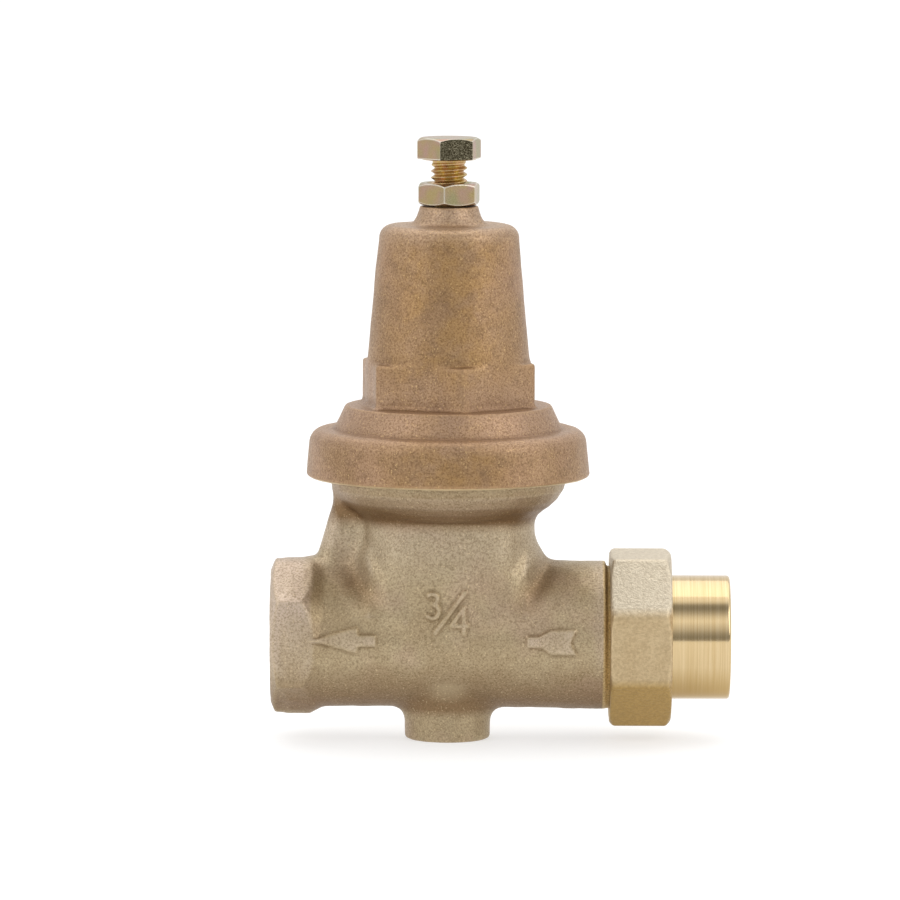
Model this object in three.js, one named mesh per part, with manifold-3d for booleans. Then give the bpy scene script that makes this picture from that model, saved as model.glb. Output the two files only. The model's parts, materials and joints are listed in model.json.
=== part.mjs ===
// Pressure reducing valve for 3/4 in pipe: a direct-acting diaphragm regulator with a union inlet.
// Millimetres, +Z up. The origin is where the pipe axis (X) meets the bonnet axis (Z).
// Water enters through the union at +X and leaves through the threaded port at -X.
import * as THREE from "three";
import { mergeVertices } from "three/addons/utils/BufferGeometryUtils.js";
import Module from "manifold-3d";

const wasm = await Module();
wasm.setup();

// ---- driving dimensions ----
const GAP = 0.3; // clearance between pieces that touch on the real valve
const TURN = 2 * Math.PI;
const FINE = 40; // sides of the large turned surfaces
const MEDIUM = 28;
const COARSE = 20;

// body casting
const RUN_R = 15.3; // outside of the run at the column
const RUN_INLET_R = 16.1; // outside of the run where it meets the union thread
const RUN_INLET_X = 34.3;
const RUN_TAPER_X = [4, 26]; // the run widens towards the inlet between these
const STUB_R = 15.5; // male union thread
const STUB_END_X = 41.5;
const STUB_PITCH = 1.814;
const PORT_X = -38.5; // face of the outlet port
const PORT_HEX_LENGTH = 7.7;
const PORT_FLATS = 31.75; // 1 1/4 in across flats
const PORT_HALF_HEIGHT = 16.9; // the top and bottom corners of the hexagon are trimmed
const PORT_BORE_R = 12.3; // 3/4 NPT, plain bore in place of the thread
const PORT_BORE_END_X = -24;
const PORT_NECK_X = 2.9; // length of the slope from the hexagon down to the run
const COLUMN_R = 18.9;
const COLUMN_TOP_Z = 29;
const PANEL_Y = 15.4; // flat panels on the front and back of the column
const BASE_R = 9.3;
const BASE_Z = -22.2;
const BASE_FLARE = 2.6; // how much wider the base boss is where it meets the run
const RIB_SLOPE = 0.2857; // x gained for each unit of z by the web over the outlet passage
const RIB_X = -23.9; // centre of the web at z 0
const RIB_HALF = [9.6, 10.8]; // half its length and half its width
const RIB_TOP_Z = 31;
const BOWL_R = 25.5;
const BOWL_FOOT = [17.6, 24.5]; // radius and height of the bowl's underside
const BOWL_INNER_R = 22.6;
const RIM_R = 28.0; // thread for the bell
const RIM_Z = 40.0;
const SEAT_Z = 38.5; // ledge that the diaphragm lies on
const WEB_Z = [6, 13]; // partition between the inlet chamber and the outlet chamber
const WEB_BORE_R = 10;
const INLET_BORE_R = 10.5;
const CHAMBER_R = 12.0;
const CHAMBER_FLOOR = [9, -13]; // radius and height of the strainer chamber's floor
const CHAMBER_CORNER_Z = -9;
const UPPER_CHAMBER_R = 12.3;
const UPPER_CHAMBER_TOP_Z = 27.6;
const PASSAGE_X = -25.77; // centre of the outlet passage at z 0
const PASSAGE_HALF = [4, 7];

// bell housing
const SKIRT_Z = 35.2;
const SKIRT_R = 30.8;
const SKIRT_TOP_R = 30.1;
const SHOULDER_Z = 45.8;
const SHOULDER_EDGE_R = 3.0;
const CONE_R = [24.4, 22.4];
const CONE_Z = [46.5, 50.8];
const WRENCH_FLATS = 34.9; // 1 3/8 in across flats
const WRENCH_Z = [50.5, 60.3];
const WRENCH_PHASE = -80.8;
const TAPER_R = [17.6, 15.2];
const TAPER_Z = [61.3, 86.7];
const CROWN_Z = 90.0;
const CROWN_EDGE_R = 2.9;
const NECK_R = 6.4;
const NECK_FLARE_Z = 92.6; // the neck widens below this
const NECK_Z = 94.05;
const CLAMP_Z = 41.7; // inner shoulder that clamps the diaphragm
const CLAMP_R = 21.5;
const CEILING_Z = 86.2;
// inside of the spring chamber above the clamp, as [radius, height]
const CHAMBER_WALL = [[CLAMP_R, 44.5], [18.8, 48.5], [14.6, 52.0], [14.2, 60.0], [12.4, 83.5],
  [9.5, CEILING_Z]];

// adjusting screw, 5/16-18 UNC x 1 in, and its lock nut
const SCREW_R = 3.97;
const SCREW_PITCH = 1.411;
const SCREW_THREAD_DEPTH = 0.75;
const SCREW_FLATS = 12.45;
const SCREW_HEAD_PHASE = -107;
const SCREW_HEAD_Z = [104.3, 108.9];
const SCREW_TIP_Z = 78.4;
const LOCK_NUT_PHASE = -98;
const LOCK_NUT_Z = [94.35, 99.1];
const SCREW_HOLE_R = SCREW_R + GAP;

// main spring, spring button and diaphragm stack
const SPRING_R = 9.6;
const WIRE_R = 1.8;
const SPRING_TURNS = 5.5;
const CLOSED_TURNS = 0.75; // at each end, where the turns almost touch
const PLATE_Z = [40.6, 42.4];
const PLATE_R = 14;
const PLATE_RIM = [12.2, 44.6]; // inside radius and height of the rim round the spring
const BUTTON_Z = [74.5, 76.5];
const BUTTON_R = 11.3;
const BUTTON_HUB_R = 7.2;
const BUTTON_HUB_Z = [71, 79.5];
const BUTTON_CUP = [3, 78.1]; // radius and floor of the cup that the screw bears in
const DIAPHRAGM_R = 26.0;
const DIAPHRAGM_Z = [38.8, 40.3];
const STEM_R = 3.1;
const STEM_HOLE_R = STEM_R + GAP;
const LIFT = 2.4; // plunger travel from fully open to shut
const STEM_Z = [-10.4, 50.5];
const STEM_FOOT_R = 2.4; // the stem below the seat
const STEM_STEP_Z = 0.6;
const COLLAR_R = 4.5;
const COLLAR_Z = [34.8, 36.3];
const WASHER_R = 9.5;
const WASHER_Z = 36.6;
const LOCK_WASHER_R = 6.2;
const LOCK_WASHER_Z = 43.9;
const PLUNGER_NUT_FLATS = 11;
const PLUNGER_NUT_Z = [44.2, 49.0];

// cartridge: cage, seat ring and valve disc
const CAGE_R = 11.6;
const CAGE_BORE_R = 6.4;
const CAGE_Z = [5, 15.6];
const CAGE_BODY_R = 9.7;
const CAGE_GROOVE_R = 8.2;
const CAGE_GROOVE_Z = [8.9, 11.1];
const CAGE_RIB = [3.6, 2.3]; // width and thickness of each of its four ribs
const HUB_R = 9;
const HUB_Z = [23.4, 28.6];
const HUB_GROOVE_R = 5.5;
const HUB_GROOVE_Z = [24.8, 27.2];
const CAGE_O_RING = [9.1, 0.75, 10]; // centre radius, wire radius and height
const STEM_O_RING = [4.4, 0.8, 26];
const SEAT_RING_R = 8;
const SEAT_BORE_R = 5.6;
const SEAT_RING_TOP_Z = 7.7;
const LIP_Z = 3.0; // sealing lip of the seat ring
const LIP_R = 6.3;
const DISC_R = 7.2;
const DISC_Z = [-2.6, LIP_Z - LIFT - 0.15];
const DISC_HOLE_R = STEM_FOOT_R + GAP;
const HOLDER_R = 8.2;
const HOLDER_Z = [-4.6, -0.4];
const DISC_WASHER_R = 5;
const DISC_WASHER_Z = [-5.9, -4.9];
const DISC_NUT_FLATS = 8;
const DISC_NUT_Z = [-9.6, -6.2];

// strainer
const SCREEN_R = 9.3;
const SCREEN_WALL = 0.5;
const SCREEN_Z = [-11.1, 4.7];
const SLOT_WIDTH = 2.4;
const SLOT_HEIGHT = 5.4;
const SLOT_ROWS_Z = [-9.6, -3.0];
const SLOT_COUNT = 12;
const CAP_R = [8.2, 9.3];
const CAP_Z = [-12.7, -11.4];

// union
const NUT_X = [35.2, 48.6];
const NUT_FLATS = 36.8;
const NUT_PHASE = -19.5;
const NUT_CORNER_R = 20.4; // the corners are turned off to this radius
const NUT_FACE_R = 18.4;
const NUT_BORE_R = STUB_R + GAP;
const TAIL_R = 13.5;
const TAIL_END_X = 61.4;
const TAIL_EDGE = 0.7;
const TAIL_FLANGE_R = 15.3;
const TAIL_FLANGE_X = [43.6, 46.1];
const CUP_R = 11.15; // solder cup for 7/8 in outside diameter copper tube
const CUP_BOTTOM_X = 45.0;
const TAIL_BORE_R = 10.2;
const GASKET_R = [10.8, 15.0];

// ---- materials ----
const material = (color, roughness, metalness) =>
  new THREE.MeshStandardMaterial({ color, roughness, metalness });
const BODY_BRONZE = material(0xa08c6c, 0.5, 0.8);
const BELL_BRONZE = material(0x9a7d5d, 0.45, 0.8);
const BRASS = material(0xcdb48a, 0.5, 0.9);
const TURNED_BRASS = material(0xd8bd86, 0.25, 1.0);
const ZINC = material(0xc9bfa0, 0.3, 1.0);
const STEEL = material(0xa8aaac, 0.3, 1.0);
const RUBBER = material(0x1c1c1e, 0.8, 0.0);
const FABRIC_RUBBER = material(0x2b2a28, 0.85, 0.0);
const NYLON = material(0xe6e2d6, 0.5, 0.0);

// ---- shape helpers ----
// A closed three.js geometry as a solid that can be joined and cut.
function solid(geometry) {
  const bare = geometry.index ? geometry.toNonIndexed() : geometry.clone();
  bare.deleteAttribute("normal");
  bare.deleteAttribute("uv");
  const merged = mergeVertices(bare, 1e-4);
  const corners = [];
  const index = merged.index.array;
  for (let i = 0; i < index.length; i += 3) {
    const [a, b, c] = [index[i], index[i + 1], index[i + 2]];
    if (a !== b && b !== c && c !== a) corners.push(a, b, c);
  }
  const vertProperties = merged.attributes.position.array;
  const build = (list) =>
    new wasm.Manifold(
      new wasm.Mesh({ numProp: 3, vertProperties, triVerts: new Uint32Array(list) }),
    );
  const made = build(corners);
  return made.volume() < 0 ? build(corners.reverse()) : made;
}

// A profile of [radius, height] points turned about Z.
function turned(profile, sides = MEDIUM) {
  const points = profile.map(([r, z]) => new THREE.Vector2(r, z));
  const geometry = new THREE.LatheGeometry([...points, points[0].clone()], sides);
  return solid(geometry.rotateX(Math.PI / 2));
}

// The same profile turned about X, with heights along +X.
function turnedAlongX(profile, sides = MEDIUM) {
  return turned(profile, sides).rotate([0, 90, 0]);
}

// A round bar, or a ring when a hole radius is given.
function disc(radius, [low, high], hole = 0, sides = MEDIUM) {
  return turned([[hole, low], [radius, low], [radius, high], [hole, high]], sides);
}

// Points of an arc from angle a to angle b in degrees, about [r, z].
function arc([r, z], radius, a, b, steps = 4) {
  return Array.from({ length: steps + 1 }, (_, i) => {
    const angle = THREE.MathUtils.degToRad(a + ((b - a) * i) / steps);
    return [r + radius * Math.cos(angle), z + radius * Math.sin(angle)];
  });
}

// A closed outline of [x, y] points pushed up from z low to z high.
function extruded(points, [low, high]) {
  const shape = new THREE.Shape(points.map(([x, y]) => new THREE.Vector2(x, y)));
  const geometry = new THREE.ExtrudeGeometry(shape, { depth: high - low, bevelEnabled: false });
  return solid(geometry.translate(0, 0, low));
}

// A regular prism with the given distance across flats and the angle of its first corner.
function prism(sides, flats, phase, heights) {
  const radius = flats / 2 / Math.cos(Math.PI / sides);
  const points = Array.from({ length: sides }, (_, i) => {
    const angle = THREE.MathUtils.degToRad(phase) + (TURN * i) / sides;
    return [radius * Math.cos(angle), radius * Math.sin(angle)];
  });
  return extruded(points, heights);
}

// An ellipse pushed up from z low to z high while its centre moves by slope in x for each unit of z.
function leaningBar(centre, slope, [halfX, halfY], [low, high]) {
  const points = Array.from({ length: COARSE }, (_, i) => {
    const angle = (TURN * i) / COARSE;
    return [halfX * Math.cos(angle), halfY * Math.sin(angle)];
  });
  const bar = extruded(points, [low, high]);
  const shear = [1, 0, 0, 0, 0, 1, 0, 0, slope, 0, 1, 0];
  return bar.transform([...shear, centre, 0, 0, 1]);
}

function block([x0, y0, z0], [x1, y1, z1]) {
  const geometry = new THREE.BoxGeometry(x1 - x0, y1 - y0, z1 - z0);
  return solid(geometry.translate((x0 + x1) / 2, (y0 + y1) / 2, (z0 + z1) / 2));
}

function ringSolid([centreR, wireR, z], sides = MEDIUM) {
  return solid(new THREE.TorusGeometry(centreR, wireR, 8, sides).translate(0, 0, z));
}

// Crest and root points of a thread's outline, from height low to high.
function threadOutline(crestR, rootR, pitch, low, high) {
  const count = Math.floor((high - low) / pitch);
  const points = [[rootR, low]];
  for (let i = 0; i < count; i += 1) {
    points.push([crestR, low + (i + 0.5) * pitch]);
    points.push([rootR, low + (i + 1) * pitch]);
  }
  return points;
}

// A hexagon with its corners turned off by a cone at the chosen ends.
function chamferedHexagon(flats, phase, [low, high], topChamfer, bottomChamfer) {
  const corner = flats / Math.sqrt(3) + 0.2;
  const rim = flats / 2 - 0.1;
  const drop = (corner - rim) * Math.tan(Math.PI / 6);
  const cutter = turned([
    [0, low],
    [bottomChamfer ? rim : corner, low],
    [corner, low + (bottomChamfer ? drop : 0.01)],
    [corner, high - (topChamfer ? drop : 0.01)],
    [topChamfer ? rim : corner, high],
    [0, high],
  ]);
  return prism(6, flats, phase, [low, high]).intersect(cutter);
}

// ---- valve body ----
function bodyOutside() {
  const run = turnedAlongX([
    [0, PORT_X + PORT_HEX_LENGTH],
    [RUN_R, PORT_X + PORT_HEX_LENGTH],
    [RUN_R, RUN_TAPER_X[0]],
    [RUN_INLET_R, RUN_TAPER_X[1]],
    [RUN_INLET_R, RUN_INLET_X],
    [0, RUN_INLET_X],
  ], FINE);
  const column = disc(COLUMN_R, [0, COLUMN_TOP_Z], 0, FINE).intersect(
    block([-COLUMN_R, -PANEL_Y, 0], [COLUMN_R, PANEL_Y, COLUMN_TOP_Z]),
  );
  const bowl = turned([
    [0, BOWL_FOOT[1]],
    BOWL_FOOT,
    [19.4, 26.6],
    [22.6, 28.4],
    [24.7, 30.6],
    [BOWL_R, 33],
    [BOWL_R, 35.4],
    [RIM_R, 36.4],
    [RIM_R, RIM_Z],
    [0, RIM_Z],
  ], FINE);
  const rib = leaningBar(RIB_X, RIB_SLOPE, RIB_HALF, [0, RIB_TOP_Z]);
  const base = turned([[0, BASE_Z], [BASE_R - 0.8, BASE_Z], [BASE_R, BASE_Z + 0.8],
    [BASE_R, -17.5], [BASE_R + BASE_FLARE, -13.5], [BASE_R + BASE_FLARE, -8], [0, -8]]);
  return run.add(column).add(bowl).add(rib).add(base).add(portOutside()).add(stubOutside());
}

function portOutside() {
  const inner = PORT_X + PORT_HEX_LENGTH;
  const end = inner + PORT_NECK_X;
  const hexagon = prism(6, PORT_FLATS, 0, [PORT_X, end])
    .rotate([0, 90, 0])
    .intersect(block([PORT_X, -20, -PORT_HALF_HEIGHT], [end, 20, PORT_HALF_HEIGHT]));
  const envelope = turnedAlongX([
    [0, PORT_X],
    [13.6, PORT_X],
    [18.6, PORT_X + 2.3],
    [18.6, inner],
    [RUN_R - 0.3, end],
    [0, end],
  ], FINE);
  return hexagon.intersect(envelope);
}

function stubOutside() {
  const outline = threadOutline(STUB_R, STUB_R - 0.9, STUB_PITCH, RUN_INLET_X, STUB_END_X - 0.9);
  return turnedAlongX([[0, RUN_INLET_X - 1], [STUB_R - 0.9, RUN_INLET_X - 1], ...outline,
    [STUB_R - 1.3, STUB_END_X], [0, STUB_END_X]], FINE);
}

function bodyInside() {
  const inlet = turnedAlongX([[0, 0], [INLET_BORE_R, 0], [INLET_BORE_R, STUB_END_X + 1],
    [0, STUB_END_X + 1]], COARSE);
  const lower = turned([[0, CHAMBER_FLOOR[1]], CHAMBER_FLOOR, [CHAMBER_R, CHAMBER_CORNER_Z],
    [CHAMBER_R, WEB_Z[0]], [0, WEB_Z[0]]]);
  const web = disc(WEB_BORE_R, [WEB_Z[0] - 1, WEB_Z[1] + 1]);
  const upper = turned([[0, WEB_Z[1]], [UPPER_CHAMBER_R, WEB_Z[1]], [UPPER_CHAMBER_R, UPPER_CHAMBER_TOP_Z],
    [19.5, 29.6], [BOWL_INNER_R, 32.4], [BOWL_INNER_R, SEAT_Z], [DIAPHRAGM_R + GAP, SEAT_Z],
    [DIAPHRAGM_R + GAP, RIM_Z + 1], [0, RIM_Z + 1]], FINE);
  const passage = leaningBar(PASSAGE_X, RIB_SLOPE, PASSAGE_HALF, [-4, RIB_TOP_Z]);
  const mouth = PORT_BORE_R + 0.5;
  const port = turnedAlongX([[0, PORT_X - 1], [mouth, PORT_X - 1], [mouth, PORT_X],
    [PORT_BORE_R, PORT_X + 0.8], [PORT_BORE_R - 0.5, PORT_BORE_END_X - 2],
    [7, PORT_BORE_END_X + 1], [0, PORT_BORE_END_X + 1]], COARSE);
  return inlet.add(lower).add(web).add(upper).add(passage).add(port);
}

function valveBody() {
  return bodyOutside().subtract(bodyInside());
}

// ---- bell housing ----
function bellOutside() {
  const shoulder = [SKIRT_TOP_R - SHOULDER_EDGE_R, SHOULDER_Z - SHOULDER_EDGE_R];
  const crown = [TAPER_R[1] - CROWN_EDGE_R, CROWN_Z - CROWN_EDGE_R];
  const shell = turned([
    [0, SKIRT_Z],
    [SKIRT_R - 0.5, SKIRT_Z],
    [SKIRT_R, SKIRT_Z + 0.6],
    [SKIRT_TOP_R, shoulder[1]],
    ...arc(shoulder, SHOULDER_EDGE_R, 15, 90),
    [CONE_R[0] + 0.4, SHOULDER_Z],
    [CONE_R[0], CONE_Z[0]],
    [CONE_R[1], CONE_Z[1]],
    [CONE_R[1] - 1.5, CONE_Z[1] + 1.1],
    [TAPER_R[0] + 0.1, CONE_Z[1] + 1.6],
    [TAPER_R[0], TAPER_Z[0]],
    [TAPER_R[1], TAPER_Z[1]],
    ...arc(crown, CROWN_EDGE_R, 15, 90),
    [NECK_R + 2.4, CROWN_Z],
    [NECK_R + 1.1, CROWN_Z + 1.2],
    [NECK_R + 0.4, NECK_FLARE_Z],
    [NECK_R, NECK_Z],
    [0, NECK_Z],
  ], FINE);
  return shell.add(chamferedHexagon(WRENCH_FLATS, WRENCH_PHASE, WRENCH_Z, true, false));
}

function bellHousing() {
  const inside = turned([
    [0, SKIRT_Z - 1],
    [RIM_R + GAP, SKIRT_Z - 1],
    [RIM_R + GAP, CLAMP_Z],
    [CLAMP_R, CLAMP_Z],
    ...CHAMBER_WALL,
    [SCREW_HOLE_R, CEILING_Z],
    [SCREW_HOLE_R, NECK_Z + 1],
    [0, NECK_Z + 1],
  ]);
  return bellOutside().subtract(inside);
}

// ---- adjusting screw and lock nut ----
function adjustingScrew() {
  const rootR = SCREW_R - SCREW_THREAD_DEPTH;
  const headZ = SCREW_HEAD_Z[0];
  const outline = threadOutline(SCREW_R, rootR, SCREW_PITCH, SCREW_TIP_Z + 1.2, headZ - 0.7);
  const shank = turned([[0, SCREW_TIP_Z], [2.4, SCREW_TIP_Z], ...outline,
    [rootR + 0.1, headZ + 0.5], [0, headZ + 0.5]], COARSE);
  return shank.add(chamferedHexagon(SCREW_FLATS, SCREW_HEAD_PHASE, SCREW_HEAD_Z, true, false));
}

function lockNut() {
  return chamferedHexagon(SCREW_FLATS, LOCK_NUT_PHASE, LOCK_NUT_Z, true, true).subtract(
    disc(SCREW_HOLE_R, [LOCK_NUT_Z[0] - 1, LOCK_NUT_Z[1] + 1], 0, COARSE),
  );
}

// ---- main spring and its button ----
class SpringPath extends THREE.Curve {
  // Height of the wire's centre for t from 0 to 1: close turns at both ends, open turns between.
  getPoint(t, target = new THREE.Vector3()) {
    const bottom = PLATE_Z[1] + GAP + WIRE_R;
    const top = BUTTON_Z[0] - GAP - WIRE_R;
    const closed = CLOSED_TURNS / SPRING_TURNS;
    const closedRise = CLOSED_TURNS * (2 * WIRE_R + GAP);
    const open = (t - closed) / (1 - 2 * closed);
    let z = bottom + closedRise + open * (top - bottom - 2 * closedRise);
    if (t < closed) z = bottom + (t / closed) * closedRise;
    if (t > 1 - closed) z = top - ((1 - t) / closed) * closedRise;
    const angle = TURN * SPRING_TURNS * t;
    return target.set(SPRING_R * Math.cos(angle), SPRING_R * Math.sin(angle), z);
  }
}

function mainSpring() {
  const section = new THREE.Shape();
  section.absarc(0, 0, WIRE_R - 0.1, 0, TURN);
  return solid(
    new THREE.ExtrudeGeometry(section, {
      steps: 72,
      curveSegments: 4,
      extrudePath: new SpringPath(),
    }),
  );
}

function springButton() {
  const [low, high] = BUTTON_HUB_Z;
  return turned([[0, low], [BUTTON_HUB_R - 0.8, low], [BUTTON_HUB_R, low + 1], [BUTTON_HUB_R, BUTTON_Z[0]],
    [BUTTON_R, BUTTON_Z[0]], [BUTTON_R, BUTTON_Z[1]], [BUTTON_HUB_R - 0.2, BUTTON_Z[1] + 0.8],
    [BUTTON_HUB_R - 1.2, high], [BUTTON_CUP[0] + 1.3, high], BUTTON_CUP, [0, BUTTON_CUP[1]]], COARSE);
}

// ---- diaphragm stack ----
function diaphragmPlate() {
  const bottom = PLATE_Z[0];
  const [rimR, rimZ] = PLATE_RIM;
  return turned([[STEM_HOLE_R, bottom], [PLATE_R - 0.8, bottom], [PLATE_R, bottom + 0.8], [PLATE_R, rimZ],
    [rimR + 0.4, rimZ], [rimR, PLATE_Z[1]], [STEM_HOLE_R, PLATE_Z[1]]]);
}

function diaphragm() {
  return disc(DIAPHRAGM_R, DIAPHRAGM_Z, STEM_HOLE_R, FINE);
}

function frictionRing() {
  return disc(DIAPHRAGM_R, [DIAPHRAGM_Z[1] + GAP, CLAMP_Z - GAP], CLAMP_R + 0.4, FINE);
}

function diaphragmWasher() {
  const top = DIAPHRAGM_Z[0] - GAP;
  return turned([[STEM_HOLE_R, WASHER_Z], [WASHER_R - 0.5, WASHER_Z], [WASHER_R, WASHER_Z + 0.5],
    [WASHER_R, top], [STEM_HOLE_R, top]], COARSE);
}

function lockWasher() {
  const low = PLATE_Z[1] + GAP;
  const washer = disc(LOCK_WASHER_R, [low, LOCK_WASHER_Z], STEM_HOLE_R, COARSE);
  const split = block([2, -0.5, low - 1], [LOCK_WASHER_R + 1, 0.5, LOCK_WASHER_Z + 1]);
  return washer.subtract(split);
}

function plungerNut() {
  const [low, high] = PLUNGER_NUT_Z;
  return chamferedHexagon(PLUNGER_NUT_FLATS, 0, PLUNGER_NUT_Z, true, false).subtract(
    disc(STEM_HOLE_R, [low - 1, high + 1], 0, COARSE),
  );
}

// ---- plunger and its disc ----
function plungerStem() {
  const [low, high] = STEM_Z;
  return turned([[0, low], [STEM_FOOT_R - 0.4, low], [STEM_FOOT_R, low + 0.4], [STEM_FOOT_R, STEM_STEP_Z],
    [STEM_R, STEM_STEP_Z], [STEM_R, COLLAR_Z[0]], [COLLAR_R, COLLAR_Z[0]], [COLLAR_R, COLLAR_Z[1]],
    [STEM_R, COLLAR_Z[1]], [STEM_R, high - 0.5], [STEM_R - 0.5, high], [0, high]], COARSE);
}

function seatDisc() {
  return disc(DISC_R, DISC_Z, DISC_HOLE_R, COARSE);
}

function discHolder() {
  const [low, high] = HOLDER_Z;
  const cupR = DISC_R + GAP;
  const floor = DISC_Z[0] - GAP;
  return turned([[DISC_HOLE_R, low], [HOLDER_R - 0.4, low], [HOLDER_R, low + 0.4], [HOLDER_R, high],
    [cupR, high], [cupR, floor], [DISC_HOLE_R, floor]], COARSE);
}

function discWasher() {
  return disc(DISC_WASHER_R, DISC_WASHER_Z, DISC_HOLE_R, COARSE);
}

function discNut() {
  const [low, high] = DISC_NUT_Z;
  return chamferedHexagon(DISC_NUT_FLATS, 0, DISC_NUT_Z, false, true).subtract(
    disc(DISC_HOLE_R, [low - 1, high + 1], 0, COARSE),
  );
}

// ---- cartridge ----
function guideCage() {
  const [low, high] = CAGE_Z;
  const [grooveLow, grooveHigh] = CAGE_GROOVE_Z;
  const seatR = SEAT_RING_R + GAP;
  const seatTop = SEAT_RING_TOP_Z + GAP;
  const flangeZ = WEB_Z[1] + GAP;
  const ring = turned([[CAGE_BORE_R, seatTop], [CAGE_BORE_R, high], [CAGE_R, high], [CAGE_R, flangeZ],
    [CAGE_BODY_R, flangeZ], [CAGE_BODY_R, grooveHigh], [CAGE_GROOVE_R, grooveHigh],
    [CAGE_GROOVE_R, grooveLow], [CAGE_BODY_R, grooveLow], [CAGE_BODY_R, low], [seatR, low],
    [seatR, seatTop]]);
  const [hubLow, hubHigh] = HUB_Z;
  const hub = turned([[STEM_HOLE_R, hubLow], [HUB_R, hubLow], [HUB_R, hubHigh - 1], [HUB_R - 1, hubHigh],
    [STEM_HOLE_R, hubHigh], [STEM_HOLE_R, HUB_GROOVE_Z[1]], [HUB_GROOVE_R, HUB_GROOVE_Z[1]],
    [HUB_GROOVE_R, HUB_GROOVE_Z[0]], [STEM_HOLE_R, HUB_GROOVE_Z[0]]]);
  const [width, thickness] = CAGE_RIB;
  const outer = HUB_R - 0.1;
  const rib = block([outer - thickness, -width / 2, high - 0.6], [outer, width / 2, hubLow + 0.6]);
  let cage = ring.add(hub);
  for (let i = 0; i < 4; i += 1) cage = cage.add(rib.rotate([0, 0, 45 + 90 * i]));
  return cage;
}

function seatRing() {
  const lipFoot = LIP_Z + 0.8;
  return turned([[SEAT_BORE_R, LIP_Z], [LIP_R, LIP_Z], [LIP_R + 0.5, lipFoot], [SEAT_RING_R, lipFoot],
    [SEAT_RING_R, SEAT_RING_TOP_Z], [SEAT_BORE_R, SEAT_RING_TOP_Z]]);
}

function strainerScreen() {
  const sides = 2 * SLOT_COUNT;
  const step = 360 / SLOT_COUNT;
  let screen = disc(SCREEN_R, SCREEN_Z, SCREEN_R - SCREEN_WALL, sides);
  for (const low of SLOT_ROWS_Z) {
    const bar = block([-CHAMBER_R, -SLOT_WIDTH / 2, low], [CHAMBER_R, SLOT_WIDTH / 2, low + SLOT_HEIGHT]);
    for (let i = 0; i < SLOT_COUNT / 2; i += 1) {
      screen = screen.subtract(bar.rotate([0, 0, step * (i + 0.25)]));
    }
  }
  return screen;
}

function strainerCap() {
  const [low, high] = CAP_Z;
  return turned([[0, low], [CAP_R[0], low], [CAP_R[1], low + 0.8], [CAP_R[1], high], [0, high]]);
}

// ---- union ----
function unionNut() {
  const [low, high] = NUT_X;
  const envelope = turned([[0, low], [NUT_FACE_R, low], [NUT_CORNER_R, low + 1],
    [NUT_CORNER_R, high - 1.3], [NUT_FACE_R, high], [0, high]]);
  const lipX = TAIL_FLANGE_X[1] + GAP;
  const inside = turned([[0, low - 1], [NUT_BORE_R, low - 1], [NUT_BORE_R, lipX],
    [TAIL_R + GAP, lipX], [TAIL_R + GAP, high + 1], [0, high + 1]]);
  return prism(8, NUT_FLATS, NUT_PHASE, NUT_X)
    .intersect(envelope)
    .subtract(inside)
    .rotate([0, 90, 0]);
}

function unionTailpiece() {
  return turnedAlongX([
    [TAIL_BORE_R, TAIL_FLANGE_X[0]],
    [TAIL_FLANGE_R, TAIL_FLANGE_X[0]],
    [TAIL_FLANGE_R, TAIL_FLANGE_X[1]],
    [TAIL_R, TAIL_FLANGE_X[1]],
    [TAIL_R, TAIL_END_X - TAIL_EDGE],
    [TAIL_R - TAIL_EDGE, TAIL_END_X],
    [CUP_R + 0.4, TAIL_END_X],
    [CUP_R, TAIL_END_X - 0.5],
    [CUP_R, CUP_BOTTOM_X],
    [TAIL_BORE_R, CUP_BOTTOM_X],
  ], FINE);
}

function unionGasket() {
  const along = [STUB_END_X + GAP, TAIL_FLANGE_X[0] - GAP];
  return disc(GASKET_R[1], along, GASKET_R[0]).rotate([0, 90, 0]);
}

// ---- assembly ----
const valve = new THREE.Group();

function addPiece(name, made, finish) {
  const mesh = made.getMesh();
  const geometry = new THREE.BufferGeometry();
  geometry.setAttribute("position", new THREE.BufferAttribute(mesh.vertProperties, 3));
  geometry.setIndex(new THREE.BufferAttribute(mesh.triVerts, 1));
  geometry.computeVertexNormals();
  const piece = new THREE.Mesh(geometry, finish);
  piece.name = name;
  valve.add(piece);
}

addPiece("valve_body", valveBody(), BODY_BRONZE);
addPiece("bell_housing", bellHousing(), BELL_BRONZE);
addPiece("adjusting_screw", adjustingScrew(), ZINC);
addPiece("lock_nut", lockNut(), ZINC);
addPiece("spring_button", springButton(), STEEL);
addPiece("main_spring", mainSpring(), STEEL);
addPiece("diaphragm_plate", diaphragmPlate(), STEEL);
addPiece("plunger_nut", plungerNut(), BRASS);
addPiece("plunger_lock_washer", lockWasher(), STEEL);
addPiece("diaphragm", diaphragm(), FABRIC_RUBBER);
addPiece("friction_ring", frictionRing(), NYLON);
addPiece("diaphragm_washer", diaphragmWasher(), BRASS);
addPiece("plunger_stem", plungerStem(), TURNED_BRASS);
addPiece("guide_cage", guideCage(), BRASS);
addPiece("cage_o_ring", ringSolid(CAGE_O_RING), RUBBER);
addPiece("stem_o_ring", ringSolid(STEM_O_RING, COARSE), RUBBER);
addPiece("seat_ring", seatRing(), STEEL);
addPiece("seat_disc", seatDisc(), RUBBER);
addPiece("disc_holder", discHolder(), TURNED_BRASS);
addPiece("disc_washer", discWasher(), BRASS);
addPiece("disc_nut", discNut(), BRASS);
addPiece("strainer_screen", strainerScreen(), STEEL);
addPiece("strainer_cap", strainerCap(), STEEL);
addPiece("union_nut", unionNut(), BRASS);
addPiece("union_tailpiece", unionTailpiece(), TURNED_BRASS);
addPiece("union_gasket", unionGasket(), RUBBER);

export default valve;
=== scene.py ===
import itertools
import json
import math

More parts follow.
